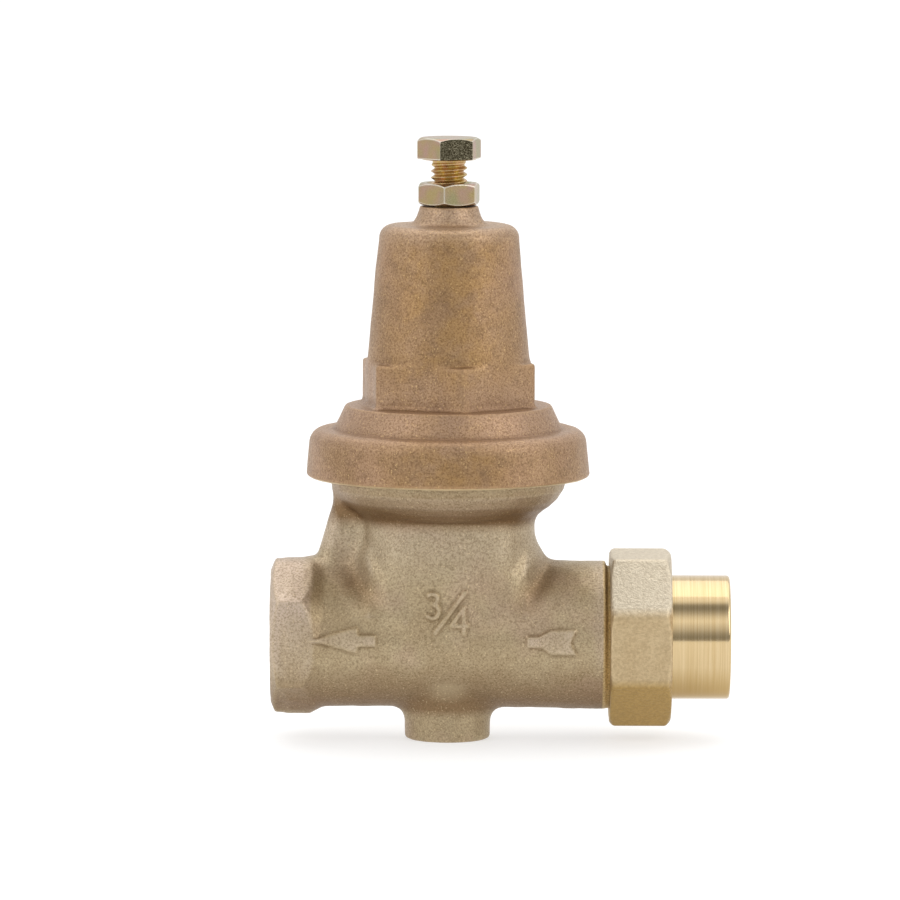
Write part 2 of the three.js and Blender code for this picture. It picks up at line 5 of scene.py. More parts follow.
import bpy
import numpy as np
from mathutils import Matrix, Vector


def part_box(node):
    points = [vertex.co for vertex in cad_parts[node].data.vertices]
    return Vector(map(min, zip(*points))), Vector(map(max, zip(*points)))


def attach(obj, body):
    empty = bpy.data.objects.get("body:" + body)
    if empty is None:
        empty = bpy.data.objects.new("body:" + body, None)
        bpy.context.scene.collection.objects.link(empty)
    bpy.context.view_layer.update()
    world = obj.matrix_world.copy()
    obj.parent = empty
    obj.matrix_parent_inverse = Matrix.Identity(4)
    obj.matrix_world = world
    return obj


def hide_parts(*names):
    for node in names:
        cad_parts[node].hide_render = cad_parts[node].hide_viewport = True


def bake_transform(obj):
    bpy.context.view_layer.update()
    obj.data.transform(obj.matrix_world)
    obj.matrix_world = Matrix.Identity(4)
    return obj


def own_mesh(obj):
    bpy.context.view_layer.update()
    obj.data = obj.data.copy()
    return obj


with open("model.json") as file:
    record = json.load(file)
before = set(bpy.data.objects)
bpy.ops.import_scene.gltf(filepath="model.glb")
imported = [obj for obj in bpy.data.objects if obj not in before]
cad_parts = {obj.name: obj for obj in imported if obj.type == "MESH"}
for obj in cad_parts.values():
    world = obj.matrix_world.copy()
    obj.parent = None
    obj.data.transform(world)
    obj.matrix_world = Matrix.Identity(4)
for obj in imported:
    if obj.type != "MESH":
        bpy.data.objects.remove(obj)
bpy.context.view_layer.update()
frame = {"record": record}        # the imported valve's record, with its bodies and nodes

import openvdb
from mathutils import Vector

# Shapes are worked out in millimetres and stored in metres. +X is the inlet side, +Z is up.
MM = 0.001


def box_mm(node):
    low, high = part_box(node)
    return np.array(low) / MM, np.array(high) / MM


# ---- sizes read from the frame ----
BODY_LOW, BODY_HIGH = box_mm("valve_body")
BELL_LOW, BELL_HIGH = box_mm("bell_housing")
NUT_LOW, NUT_HIGH = box_mm("union_nut")
TAIL_END_X = box_mm("union_tailpiece")[1][0]
SCREW_LOW, SCREW_HIGH = box_mm("adjusting_screw")
LOCK_LOW, LOCK_HIGH = box_mm("lock_nut")
PORT_X, STUB_END_X = BODY_LOW[0], BODY_HIGH[0]
BASE_Z, RIM_Z, RIM_R = BODY_LOW[2], BODY_HIGH[2], BODY_HIGH[1]
SKIRT_Z, SKIRT_R, NECK_Z = BELL_LOW[2], BELL_HIGH[0], BELL_HIGH[2]

# ---- sizes of the castings and fittings; a CORNER is where a prism's first corner points, in degrees ----
RUN_R = 15.3
RUN_INLET_R = 16.1
RUN_INLET_X = 34.2
RUN_RISE = 0.5
COLUMN_R = 18.9
COLUMN_TOP_Z = 31
PANEL_Y = 15.3
PORT_FLATS = 31.75
PORT_HEX_LENGTH = 7.7
PORT_HALF_HEIGHT = 16.9
PORT_BORE_R = 13.1
PIPE_PITCH = 1.814
STUB_R = 15.5
BASE_R = 9.3
BOWL_R = 25.5
BOWL_INNER_R = 22.6
SEAT_Z = 38.5
RIB_LEAN = 0.305
RIB_FOOT_X = -33.9
RIB_HALF_WIDTH = 4.8
SHOULDER_Z = 45.6
WRENCH_FLATS = 34.9
WRENCH_CORNER = -80.8
WRENCH_CORNER_R = 20.15
WRENCH_TOP_Z = 60.4
TAPER_R = (17.6, 15.2)
TAPER_Z = (61.3, 86.7)
CROWN_Z = 90.0
SCREW_R = 3.97
SCREW_PITCH = 1.411
SCREW_FLATS = 12.45
HEAD_CORNER = -105
HEAD_Z = 104.3
SADDLE_HOLLOW = (19.6, 13.4)
SADDLE_LEAN = math.radians(34)
NUT_FLATS = 36.8
NUT_CORNER = -19.5
NUT_CORNER_R = 20.4
NUT_THREAD_END_X = 46.4
TAIL_R = 13.5
TAIL_BORE_R = 10.2
CUP_R = 11.15


# ---- distance fields ----
def smooth_union(a, b, k):
    """The nearer of two solids, with a fillet about k millimetres long where they meet."""
    h = np.clip(0.5 + 0.5 * (b - a) / k, 0, 1)
    return b + (a - b) * h - k * h * (1 - h)


def smooth_common(a, b, k):
    return -smooth_union(-a, -b, k)


def smooth_cut(a, b, k):
    return -smooth_union(-a, b, k)


def slab(u, low, high):
    return np.maximum(low - u, u - high)


def arc(centre, radius, start, end, steps=8):
    """Points [r, z] of a round corner, with angles in degrees."""
    angles = np.radians(np.linspace(start, end, steps))
    return [(centre[0] + radius * math.cos(a), centre[1] + radius * math.sin(a)) for a in angles]


def outline_distance(points, u, v):
    """Signed distance from (u, v) to a closed outline of points, negative inside."""
    nearest = np.full(np.broadcast(u, v).shape, 1e9)
    inside = np.zeros(nearest.shape, bool)
    for (au, av), (bu, bv) in zip(points, points[1:] + points[:1]):
        eu, ev = bu - au, bv - av
        along = np.clip(((u - au) * eu + (v - av) * ev) / (eu * eu + ev * ev + 1e-12), 0, 1)
        nearest = np.minimum(nearest, np.hypot(u - au - along * eu, v - av - along * ev))
        if av != bv:
            crosses = (av > v) != (bv > v)
            inside ^= crosses & (u < au + (v - av) * eu / ev)
    return np.where(inside, -nearest, nearest)


def gather(table, cell, wrap=False):
    """Values of a table between its points, at the given fractional indices."""
    base = np.floor(cell).astype(int)
    part = cell - base
    if wrap:
        part = part * part * (3 - 2 * part)
    total = 0
    for corner in itertools.product((0, 1), repeat=table.ndim):
        index = base + corner
        for axis, size in enumerate(table.shape):
            index[..., axis] = index[..., axis] % size if wrap else index[..., axis].clip(0, size - 1)
        weight = np.prod(np.where(corner, part, 1 - part), axis=-1)
        total = total + table[tuple(np.moveaxis(index, -1, 0))] * weight
    return total


def revolved(points, r, u):
    """Distance to a closed outline of (radius, height) points turned about an axis."""
    step = 0.1
    r, u = np.broadcast_arrays(r, u)
    high_r = float(r.max()) + step
    low_u, high_u = float(u.min()) - step, float(u.max()) + step
    table_r = np.arange(0, high_r + step, step)[:, None]
    table_u = np.arange(low_u, high_u + step, step)[None, :]
    table = outline_distance(points, table_r, table_u).astype(np.float32)
    i = (r / step).astype(np.int32).clip(0, table.shape[0] - 2)
    j = ((u - low_u) / step).astype(np.int32).clip(0, table.shape[1] - 2)
    fi, fj = r / step - i, (u - low_u) / step - j
    near = table[i, j] * (1 - fj) + table[i, j + 1] * fj
    far = table[i + 1, j] * (1 - fj) + table[i + 1, j + 1] * fj
    return near * (1 - fi) + far * fi


def prism(a, b, flats, corner, sides, k):
    """Distance to a regular prism in the plane (a, b), with its edges rounded by k."""
    distance = None
    for i in range(sides):
        angle = math.radians(corner + 180 / sides + 360 / sides * i)
        side = a * math.cos(angle) + b * math.sin(angle) - flats / 2
        distance = side if distance is None else smooth_common(distance, side, k)
    return distance


def thread(angle, height, pitch, depth):
    """Depth of a right-hand screw thread at an angle and height, from 0 at the crest."""
    turn = (height / pitch - angle / (2 * math.pi)) % 1.0
    return depth * np.clip(np.abs(2 * turn - 1) * 1.3 - 0.15, 0, 1)


def value_noise(points, size, seed):
    """Smooth random values from -1 to 1, in blobs about size millimetres across."""
    table = np.random.default_rng(seed).uniform(-1, 1, (32, 32, 32))
    return gather(table, points / size, wrap=True)


# How far round a point the castings' hollows and shoulders are felt, in millimetres.
HOLLOW_REACH = 3.5


class Volume:
    """Evenly spaced sample points round one piece, in millimetres."""

    def __init__(self, low, high, step):
        self.step = step
        self.low = np.array(low, float) - 3 * self.step
        high = np.array(high, float) + 3 * self.step
        counts = np.ceil((high - self.low) / self.step).astype(int) + 1
        axes = [np.float32(self.low[i] + self.step * np.arange(counts[i])) for i in range(3)]
        self.x = axes[0][:, None, None]
        self.y = axes[1][None, :, None]
        self.z = axes[2][None, None, :]

    def blurred(self, field, reach):
        """The field averaged over a cube that reaches that many millimetres each way."""
        n = max(1, round(reach / self.step))
        for axis in range(3):
            ends = [(0, 0)] * 3
            ends[axis] = (n + 1, n)
            total = np.cumsum(np.pad(field, ends, mode="edge"), axis=axis, dtype=np.float64)
            front = np.take(total, range(2 * n + 1, total.shape[axis]), axis=axis)
            back = np.take(total, range(0, total.shape[axis] - 2 * n - 1), axis=axis)
            field = ((front - back) / (2 * n + 1)).astype(np.float32)
        return field

    def mesh(self, name, field, waves=(), reach=1.0, outside=None):
        """The field's zero surface as an object, with how far it bulges stored as edge and hollow.

        waves are (size, height, seed) of a casting's unevenness, and outside is the shape without
        its bores.
        """
        hollow_field = None if outside is None else self.blurred(outside, HOLLOW_REACH) - outside
        field = np.ascontiguousarray(np.clip(field, -4 * self.step, 4 * self.step), np.float32)
        grid = openvdb.FloatGrid(4 * self.step)
        grid.copyFromArray(field)
        cells, quads = grid.convertToQuads(0.0)
        cells = cells.astype(float)
        bulges = {"edge": gather(self.blurred(field, reach) - field, cells)}
        if outside is not None:
            bulges["hollow"] = gather(hollow_field, cells)
        slopes = [gather(g, cells) for g in np.gradient(field)] if waves else []
        points = cells * self.step + self.low
        if waves:
            normals = np.stack(slopes, axis=1)
            normals /= np.linalg.norm(normals, axis=1, keepdims=True) + 1e-9
            for size, height, seed in waves:
                points += normals * (height * value_noise(points, size, seed))[:, None]
        return mesh_object(name, points, quads.reshape(-1), 4, bulges)


def mesh_object(name, points, corners, per_face, values=None):
    """A smooth-shaded object from points in millimetres and faces that all have per_face corners."""
    mesh = bpy.data.meshes.new(name)
    faces = len(corners) // per_face
    mesh.vertices.add(len(points))
    mesh.vertices.foreach_set("co", np.float32(np.asarray(points) * MM).ravel())
    mesh.loops.add(len(corners))
    mesh.loops.foreach_set("vertex_index", np.int32(corners))
    mesh.polygons.add(faces)
    mesh.polygons.foreach_set("loop_start", np.arange(0, len(corners), per_face, dtype=np.int32))
    mesh.update(calc_edges=True)
    mesh.polygons.foreach_set("use_smooth", np.ones(faces, bool))
    for key, numbers in (values or {}).items():
        attribute = mesh.attributes.new(key, "FLOAT", "POINT")
        attribute.data.foreach_set("value", np.float32(numbers))
    made = bpy.data.objects.new(name, mesh)
    bpy.context.collection.objects.link(made)
    return made


# ---- cast marks on the front of the body: a flow arrow and the pipe size ----
ARROW_HEAD = [(-29.9, 0.9), (-19.5, 3.9), (-19.3, 2.2), (-15.5, 2.2), (-15.5, -0.4), (-19.3, -0.4),
              (-19.7, -1.9)]
ARROW_TAIL = [(17.1, 2.0), (19.8, 2.1), (22.1, 3.4), (27.9, 3.4), (26.7, 0.7), (27.9, -2.0),
              (22.1, -2.0), (20.4, -0.5), (17.1, -0.5)]
STROKE_WIDTH = 0.95
MARK_HEIGHT = 0.6


def stroke(points, x, z):
    """Distance to a pen line of STROKE_WIDTH through points."""
    nearest = np.full(np.broadcast(x, z).shape, 1e9)
    for (ax, az), (bx, bz) in zip(points, points[1:]):
        ex, ez = bx - ax, bz - az
        along = np.clip(((x - ax) * ex + (z - az) * ez) / (ex * ex + ez * ez), 0, 1)
        nearest = np.minimum(nearest, np.hypot(x - ax - along * ex, z - az - along * ez))
    return nearest - STROKE_WIDTH / 2


def cast_marks(x, z):
    three = arc((-3.3, 10.0), 1.15, 140, -80) + arc((-3.3, 7.3), 1.45, 80, -140)
    slash = [(-2.7, 2.6), (3.8, 11.5)]
    four = [(3.5, 2.6), (3.5, 8.1), (0.8, 4.2), (4.3, 4.2)]
    marks = [stroke(three, x, z), stroke(slash, x, z), stroke(four, x, z)]
    marks += [outline_distance(ARROW_HEAD, x, z), outline_distance(ARROW_TAIL, x, z)]
    return np.minimum.reduce(marks)


# ---- body casting ----
def leaning_bar(v, centre, half_x, half_y):
    """A leaning elliptical bar whose centre is at the given x where z is 0."""
    u = (v.x - centre - RIB_LEAN * v.z) / half_x
    w = v.y / half_y
    return (np.sqrt(u * u + w * w) - 1) * min(half_x, half_y)


def rib_field(v):
    """The web over the outlet passage: its outer face leans, and its other faces are upright."""
    face = (RIB_FOOT_X + RIB_LEAN * v.z - v.x) * 0.96
    bar = smooth_common(face, np.abs(v.y) - RIB_HALF_WIDTH, 4)
    return np.maximum(np.maximum(bar, v.x + COLUMN_R / 2), slab(v.z, 0, COLUMN_TOP_Z))


def port_field(v, r):
    inner = PORT_X + PORT_HEX_LENGTH
    hexagon = prism(v.y, v.z, PORT_FLATS, 30, 6, 0.7)
    hexagon = smooth_common(hexagon, slab(v.z, -PORT_HALF_HEIGHT + 0.4, PORT_HALF_HEIGHT), 0.8)
    envelope = revolved([(0, PORT_X), (14.4, PORT_X), (18.6, PORT_X + 1.7), (18.9, inner - 1.0),
                         (15.6, inner + 1.6), (0, inner + 1.6)], r, v.x)
    return smooth_common(hexagon, envelope, 0.5)


def saddle_relief(v):
    """Soft ridges down the corners of the column, and the leaning hollows outside them."""
    x = np.abs(v.x)
    top, foot = (17.8, 18.5), (9.5, 5.0)
    ex, ez = foot[0] - top[0], foot[1] - top[1]
    along = np.clip(((x - top[0]) * ex + (v.z - top[1]) * ez) / (ex * ex + ez * ez), 0, 1)
    ridge = np.hypot(x - top[0] - along * ex, v.z - top[1] - along * ez)
    u, w = x - SADDLE_HOLLOW[0], v.z - SADDLE_HOLLOW[1]
    across = (u * math.cos(SADDLE_LEAN) - w * math.sin(SADDLE_LEAN)) / 2.4
    down = (u * math.sin(SADDLE_LEAN) + w * math.cos(SADDLE_LEAN)) / 6.0
    return 0.55 * np.exp(-(ridge / 2.0) ** 2) - 0.55 * np.exp(-across * across - down * down)


def body_outside(v):
    r = np.hypot(v.y, v.z)
    spread = np.interp(v.x, [4, 26], [RUN_R, RUN_INLET_R]).astype(np.float32)
    rise = np.interp(v.x, [4, 26], [0, RUN_RISE]).astype(np.float32)
    run = np.hypot(v.y, v.z - rise) - spread
    run = smooth_common(run, slab(v.x, PORT_X + 5, RUN_INLET_X + 0.2), 0.6)
    turned_r = np.hypot(v.x, v.y)
    column = smooth_common(turned_r - COLUMN_R, np.abs(v.y) - PANEL_Y, 2.5)
    column = np.maximum(column, slab(v.z, 0, COLUMN_TOP_Z))
    bowl = revolved([(0, 27.0), (18.3, 27.0), (20.3, 27.7), (22.2, 28.9), (23.8, 30.4),
                     (BOWL_R - 0.3, 32.6), (BOWL_R, 34), (BOWL_R, 35.4),
                     (RIM_R, 36.4), (RIM_R, RIM_Z), (0, RIM_Z)], turned_r, v.z)
    base = revolved([(0, BASE_Z), (BASE_R - 0.7, BASE_Z), (BASE_R - 0.2, BASE_Z + 0.2),
                     (BASE_R, BASE_Z + 0.7), (BASE_R, -8), (0, -8)], turned_r, v.z)
    k = np.interp(np.abs(v.x), [10, 17], [1.0, 8.5]) * np.interp(v.z, [0, 6], [0.1, 1])
    k = k.astype(np.float32)
    solid = smooth_union(run, column, k) - saddle_relief(v)
    solid = smooth_union(solid, bowl, 2.6)
    k = np.interp(v.z, [15, 22], [4.5, 2.6]).astype(np.float32)
    solid = smooth_union(solid, rib_field(v), k)
    solid = smooth_union(solid, port_field(v, r), 3.0)
    solid = smooth_union(solid, base, 3.5)
    lift = MARK_HEIGHT * np.clip(0.5 - cast_marks(v.x, v.z) / 0.5, 0, 1)
    solid = solid - (lift * (v.y < 0)).astype(np.float32)
    return smooth_union(solid, stub_field(v, r), 0.4)


def stub_field(v, r):
    angle = np.arctan2(v.z, v.y)
    cut = thread(angle, v.x, PIPE_PITCH, 1.0) * np.clip((v.x - RUN_INLET_X - 1) / 2, 0, 1)
    stub = (r - STUB_R + cut) * 0.8
    cone = (r - (STUB_R - 1.0) + (v.x - STUB_END_X)) * 0.7
    return np.maximum(np.maximum(stub, cone), slab(v.x, RUN_INLET_X - 2, STUB_END_X))


def body_inside(v):
    r = np.hypot(v.y, v.z)
    turned_r = np.hypot(v.x, v.y)
    inlet = np.maximum(r - 10.5, -v.x)
    chambers = revolved([(0, -13), (9, -13), (12, -9), (12, 6), (10, 6), (10, 13), (12.3, 13),
                         (12.3, 27.6), (19.5, 29.6), (BOWL_INNER_R, 32.4), (BOWL_INNER_R, SEAT_Z),
                         (26.3, SEAT_Z), (26.3, RIM_Z + 9), (0, RIM_Z + 9)], turned_r, v.z)
    passage = np.maximum(leaning_bar(v, -24.6, 5, 3.2), slab(v.z, -4, 32))
    angle = np.arctan2(v.z, v.y)
    taper = PORT_BORE_R - (v.x - PORT_X) / 32
    bore = (r - taper + thread(-angle, v.x, PIPE_PITCH, 1.0)) * 0.8
    port = np.maximum(bore, v.x + 25)
    mouth = (r - 13.3 + (v.x - PORT_X)) * 0.707
    port = np.minimum(port, np.maximum(mouth, v.x - PORT_X - 3))
    inside = smooth_union(smooth_union(chambers, passage, 1.5), inlet, 0.6)
    return np.minimum(inside, port)


def make_body():
    v = Volume(BODY_LOW, BODY_HIGH, 0.30)
    outside = body_outside(v)
    field = smooth_cut(outside, body_inside(v), 0.25)
    waves = [(7, 0.10, 1), (2.6, 0.05, 2), (1.2, 0.025, 3)]
    return v.mesh("body_casting", field, waves, reach=0.7, outside=outside)


# ---- bell housing ----
def make_bell():
    v = Volume(BELL_LOW, BELL_HIGH, 0.36)
    r = np.hypot(v.x, v.y)
    edge, crown = 3.0, 2.9
    top_r = SKIRT_R - 0.7
    skirt = revolved(
        [(0, SKIRT_Z), (SKIRT_R - 0.6, SKIRT_Z), (SKIRT_R, SKIRT_Z + 0.5),
         *arc((top_r - edge, SHOULDER_Z - edge), edge, 4, 86),
         (24.9, SHOULDER_Z), (24.5, 46.4), *arc((22.1, 50.3), 0.45, 25, 80), (0, 51.6)], r, v.z)
    taper = revolved(
        [(0, 45), (17.6, 45), (TAPER_R[0], TAPER_Z[0]), (TAPER_R[1], TAPER_Z[1]),
         *arc((TAPER_R[1] - crown, CROWN_Z - crown), crown, 4, 88), (0, CROWN_Z)], r, v.z)
    wrench = prism(v.x, v.y, WRENCH_FLATS, WRENCH_CORNER, 6, 0.5)
    wrench = smooth_common(wrench, r - WRENCH_CORNER_R, 0.3)
    wrench = smooth_common(wrench, slab(v.z, 48, WRENCH_TOP_Z), 0.8)
    neck = revolved([(0, 88), (7.5, 88), (7.2, 91.0), (6.85, 92.2), (6.5, 93.2), (6.35, NECK_Z - 0.2),
                     (6.15, NECK_Z), (0, NECK_Z)], r, v.z)
    outside = smooth_union(smooth_union(taper, wrench, 0.9), skirt, 1.2)
    outside = smooth_union(outside, neck, 2.2)
    inside = revolved([(0, 30), (RIM_R + 0.3, 30), (RIM_R + 0.3, 41.7), (21.5, 41.7), (21.5, 44.5),
                       (18.8, 48.5), (14.6, 52), (14.2, 60), (12.4, 83.5), (9.5, 86.2), (4.27, 86.2),
                       (4.27, 99), (0, 99)], r, v.z)
    field = smooth_cut(outside, inside, 0.3)
    waves = [(8, 0.08, 4), (3, 0.04, 5), (1.3, 0.015, 6)]
    return v.mesh("bell_casting", field, waves, reach=0.8, outside=outside)


# ---- adjusting screw and lock nut ----
def hexagon_head(v, r, flats, corner, low, high, bottom):
    """A hexagon with its corners turned off at the top, and at the bottom if asked."""
    sides = prism(v.x, v.y, flats, corner, 6, 0.12)
    cone = (r - flats / 2 + 0.15 + (v.z - high) * 1.73) * 0.5
    field = smooth_common(smooth_common(sides, slab(v.z, low, high), 0.12), cone, 0.1)
    if bottom:
        field = smooth_common(field, (r - flats / 2 + 0.15 + (low - v.z) * 1.73) * 0.5, 0.1)
    return field


def make_screw():
    v = Volume(SCREW_LOW, SCREW_HIGH, 0.12)
    r = np.hypot(v.x, v.y)
    angle = np.arctan2(v.y, v.x)
    fade = np.clip((HEAD_Z - 0.6 - v.z) / 1.2, 0, 1)
    shank = (r - SCREW_R + thread(angle, v.z, SCREW_PITCH, 0.82) * fade + 0.35 * (1 - fade)) * 0.8
    tip = (r - SCREW_R + 1.2 - (v.z - SCREW_LOW[2]) * 1.2) * 0.64
    shank = np.maximum(np.maximum(shank, tip), slab(v.z, SCREW_LOW[2], HEAD_Z + 1))
    head = hexagon_head(v, r, SCREW_FLATS, HEAD_CORNER, HEAD_Z, SCREW_HIGH[2], False)
    washer = np.maximum(r - 5.9, slab(v.z, HEAD_Z - 0.2, HEAD_Z + 1))
    field = smooth_union(np.minimum(head, washer), shank, 0.3)
    return v.mesh("screw", field, reach=0.3)


def make_lock_nut():
    v = Volume(LOCK_LOW, LOCK_HIGH, 0.12)
    r = np.hypot(v.x, v.y)
    field = hexagon_head(v, r, SCREW_FLATS, -98, LOCK_LOW[2], LOCK_HIGH[2], True)
    angle = np.arctan2(v.y, v.x)
    bore = (r - 4.75 + thread(-angle, v.z, SCREW_PITCH, 0.5)) * 0.8
    mouth = (r - 4.9 - np.abs(v.z - (LOCK_LOW[2] + LOCK_HIGH[2]) / 2) + 2.2) * 0.7
    return v.mesh("jam_nut", smooth_cut(field, np.minimum(bore, mouth), 0.1), reach=0.3)


# ---- union ----
def make_union_nut():
    v = Volume(NUT_LOW, NUT_HIGH, 0.28)
    r = np.hypot(v.y, v.z)
    sides = prism(-v.z, v.y, NUT_FLATS, NUT_CORNER, 8, 0.5)
    low, high = NUT_LOW[0], NUT_HIGH[0]
    envelope = revolved([(0, low), (18.5, low), (NUT_CORNER_R, low + 1), (NUT_CORNER_R, high - 1.4),
                         (18.1, high), (0, high)], r, v.x)
    bore = (r - 16.0 + thread(-np.arctan2(v.z, v.y), v.x, PIPE_PITCH, 0.6)) * 0.8
    bore = np.maximum(bore, v.x - NUT_THREAD_END_X)
    field = smooth_common(sides, envelope, 0.5)
    field = smooth_cut(field, np.minimum(bore, r - 13.8), 0.3)
    return v.mesh("octagon_nut", field, waves=[(4, 0.03, 7)], reach=0.6)


def lathe(name, points, along_x=False, sides=128):
    """A closed outline of (radius, height) points turned about Z, or about X if along_x."""
    points = np.array(points)
    angles = np.arange(sides) * 2 * math.pi / sides
    ring = np.stack([np.cos(angles), np.sin(angles)], axis=1)
    flat = points[:, 0][:, None, None] * ring[None]
    height = np.broadcast_to(points[:, 1][:, None, None], (*flat.shape[:2], 1))
    co = np.concatenate([height, flat] if along_x else [flat, height], axis=2).reshape(-1, 3)
    rows = np.arange(len(points))[:, None] * sides
    next_rows = np.roll(rows, -1, axis=0)
    a = np.arange(sides)[None]
    b = (a + 1) % sides
    quads = np.stack([rows + a, rows + b, next_rows + b, next_rows + a], axis=2)
    return mesh_object(name, co, quads.reshape(-1), 4)


def softened(piece, width):
    """The piece with its sharp edges rounded over that many millimetres."""
    bevel = piece.modifiers.new("soft edges", "BEVEL")
    bevel.width = width * MM
    bevel.segments = 2
    bevel.limit_method = "ANGLE"
    return piece


def make_tailpiece():
    end = TAIL_END_X
    outline = [(TAIL_BORE_R, 43.6), (15.1, 43.6), (15.3, 43.8), (15.3, 45.9), (15.1, 46.1), (13.7, 46.1),
               (TAIL_R, 46.4), *arc((TAIL_R - 0.7, end - 0.7), 0.7, 0, 90, 5), (CUP_R + 0.4, end),
               (CUP_R, end - 0.4), (CUP_R, 45.2), (TAIL_BORE_R, 45.0)]
    return softened(lathe("tail_tube", outline, along_x=True), 0.08)


def make_gasket():
    low, high = box_mm("union_gasket")
    outline = [(10.8, low[0]), (14.6, low[0]), (15.0, low[0] + 0.3), (15.0, high[0] - 0.3),
               (14.6, high[0]), (12.9, high[0]), (12.7, high[0] - 0.15), (12.5, high[0]), (10.8, high[0])]
    return softened(lathe("fibre_gasket", outline, along_x=True), 0.15)


# ---- plunger, in its bore ----
STEM_R = 3.1
STEM_FOOT_R = 2.4
STEM_HOLE_R = 3.4
FOOT_HOLE_R = 2.7


def make_stem():
    low, high = box_mm("plunger_stem")
    v = Volume(low, high, 0.14)
    r = np.hypot(v.x, v.y)
    angle = np.arctan2(v.y, v.x)
    bottom, top = low[2], high[2]
    shaft = revolved([(0, bottom), (2.0, bottom), (STEM_FOOT_R, bottom + 0.4), (STEM_FOOT_R, 0.6),
                      (STEM_R, 0.6), (STEM_R, 34.8), (4.3, 34.8), (4.5, 35.0), (4.5, 36.1), (4.3, 36.3),
                      (STEM_R, 36.3),
                      (STEM_R, top - 0.5), (2.6, top), (0, top)], r, v.z)
    upper = thread(angle, v.z, 1.0, 0.45) * np.clip(v.z - 42.5, 0, 1)
    lower = thread(angle, v.z, 0.8, 0.35) * np.clip(-5.0 - v.z, 0, 1)
    return v.mesh("stem", (shaft + upper + lower) * 0.85, reach=0.3)


def make_inner_nut(name, node, flats, hole_r, pitch):
    """A small chamfered hexagon nut with a threaded hole."""
    low, high = box_mm(node)
    v = Volume(low, high, 0.12)
    r = np.hypot(v.x, v.y)
    field = hexagon_head(v, r, flats, 0, low[2], high[2], True)
    bore = (r - hole_r + thread(-np.arctan2(v.y, v.x), v.z, pitch, 0.25)) * 0.8
    return v.mesh(name, smooth_cut(field, bore, 0.1), reach=0.3)


def make_spring_washer():
    low, high = box_mm("plunger_lock_washer")
    v = Volume(low, high, 0.1)
    r = np.hypot(v.x, v.y)
    section = smooth_common(slab(r, STEM_HOLE_R, 6.2), slab(v.z, low[2], high[2]), 0.2)
    split = np.maximum(np.abs(v.y + 0.4 * (v.z - low[2] - 0.6)) - 0.4, -v.x)
    return v.mesh("split_washer", smooth_cut(section, split, 0.1), reach=0.3)


def make_cage():
    low, high = box_mm("guide_cage")
    v = Volume(low, high, 0.18)
    r = np.hypot(v.x, v.y)
    ring = revolved([(6.6, 8), (6.4, 8.2), (6.4, 15.4), (6.6, 15.6), (11.3, 15.6), (11.6, 15.3),
                     (11.6, 13.3), (9.7, 13.3), (9.7, 11.1), (8.2, 11.1), (8.2, 8.9), (9.7, 8.9),
                     (9.7, 5.2), (9.5, 5),
                     (8.3, 5), (8.3, 8)], r, v.z)
    hub = revolved([(STEM_HOLE_R, 23.4), (8.8, 23.4), (9, 23.6), (9, 27.6), (8, 28.6), (STEM_HOLE_R, 28.6),
                    (STEM_HOLE_R, 27.2), (5.5, 27.2), (5.5, 24.8), (STEM_HOLE_R, 24.8)], r, v.z)
    diagonal, across = (v.x + v.y) / math.sqrt(2), (v.x - v.y) / math.sqrt(2)
    rib = np.minimum(np.maximum(slab(np.abs(diagonal), 6.6, 8.9), np.abs(across) - 1.8),
                     np.maximum(slab(np.abs(across), 6.6, 8.9), np.abs(diagonal) - 1.8))
    rib = np.maximum(rib, slab(v.z, 15, 24))
    return v.mesh("cage", smooth_union(smooth_union(ring, rib, 0.8), hub, 0.8), reach=0.4)


def make_screen():
    """The strainer: two rows of round-ended slots in a thin sleeve, with rolled ends."""
    low, high = box_mm("strainer_screen")
    v = Volume(low, high, 0.15)
    r = np.hypot(v.x, v.y)
    sleeve = np.abs(r - 9.05) - 0.23
    for z in (low[2] + 0.25, high[2] - 0.25):
        sleeve = smooth_union(sleeve, np.hypot(r - 9.0, v.z - z) - 0.25, 0.2)
    sleeve = np.maximum(sleeve, slab(v.z, low[2], high[2]))
    turn = np.arctan2(v.y, v.x) / math.radians(30) - 0.25
    around = (turn - np.round(turn)) * math.radians(30) * 9.05
    for middle in (-6.9, -0.3):
        along = np.maximum(np.abs(v.z - middle) - 1.6, 0)
        sleeve = smooth_cut(sleeve, np.hypot(around, along) - 1.1, 0.1)
    return v.mesh("screen_sleeve", sleeve, reach=0.3)


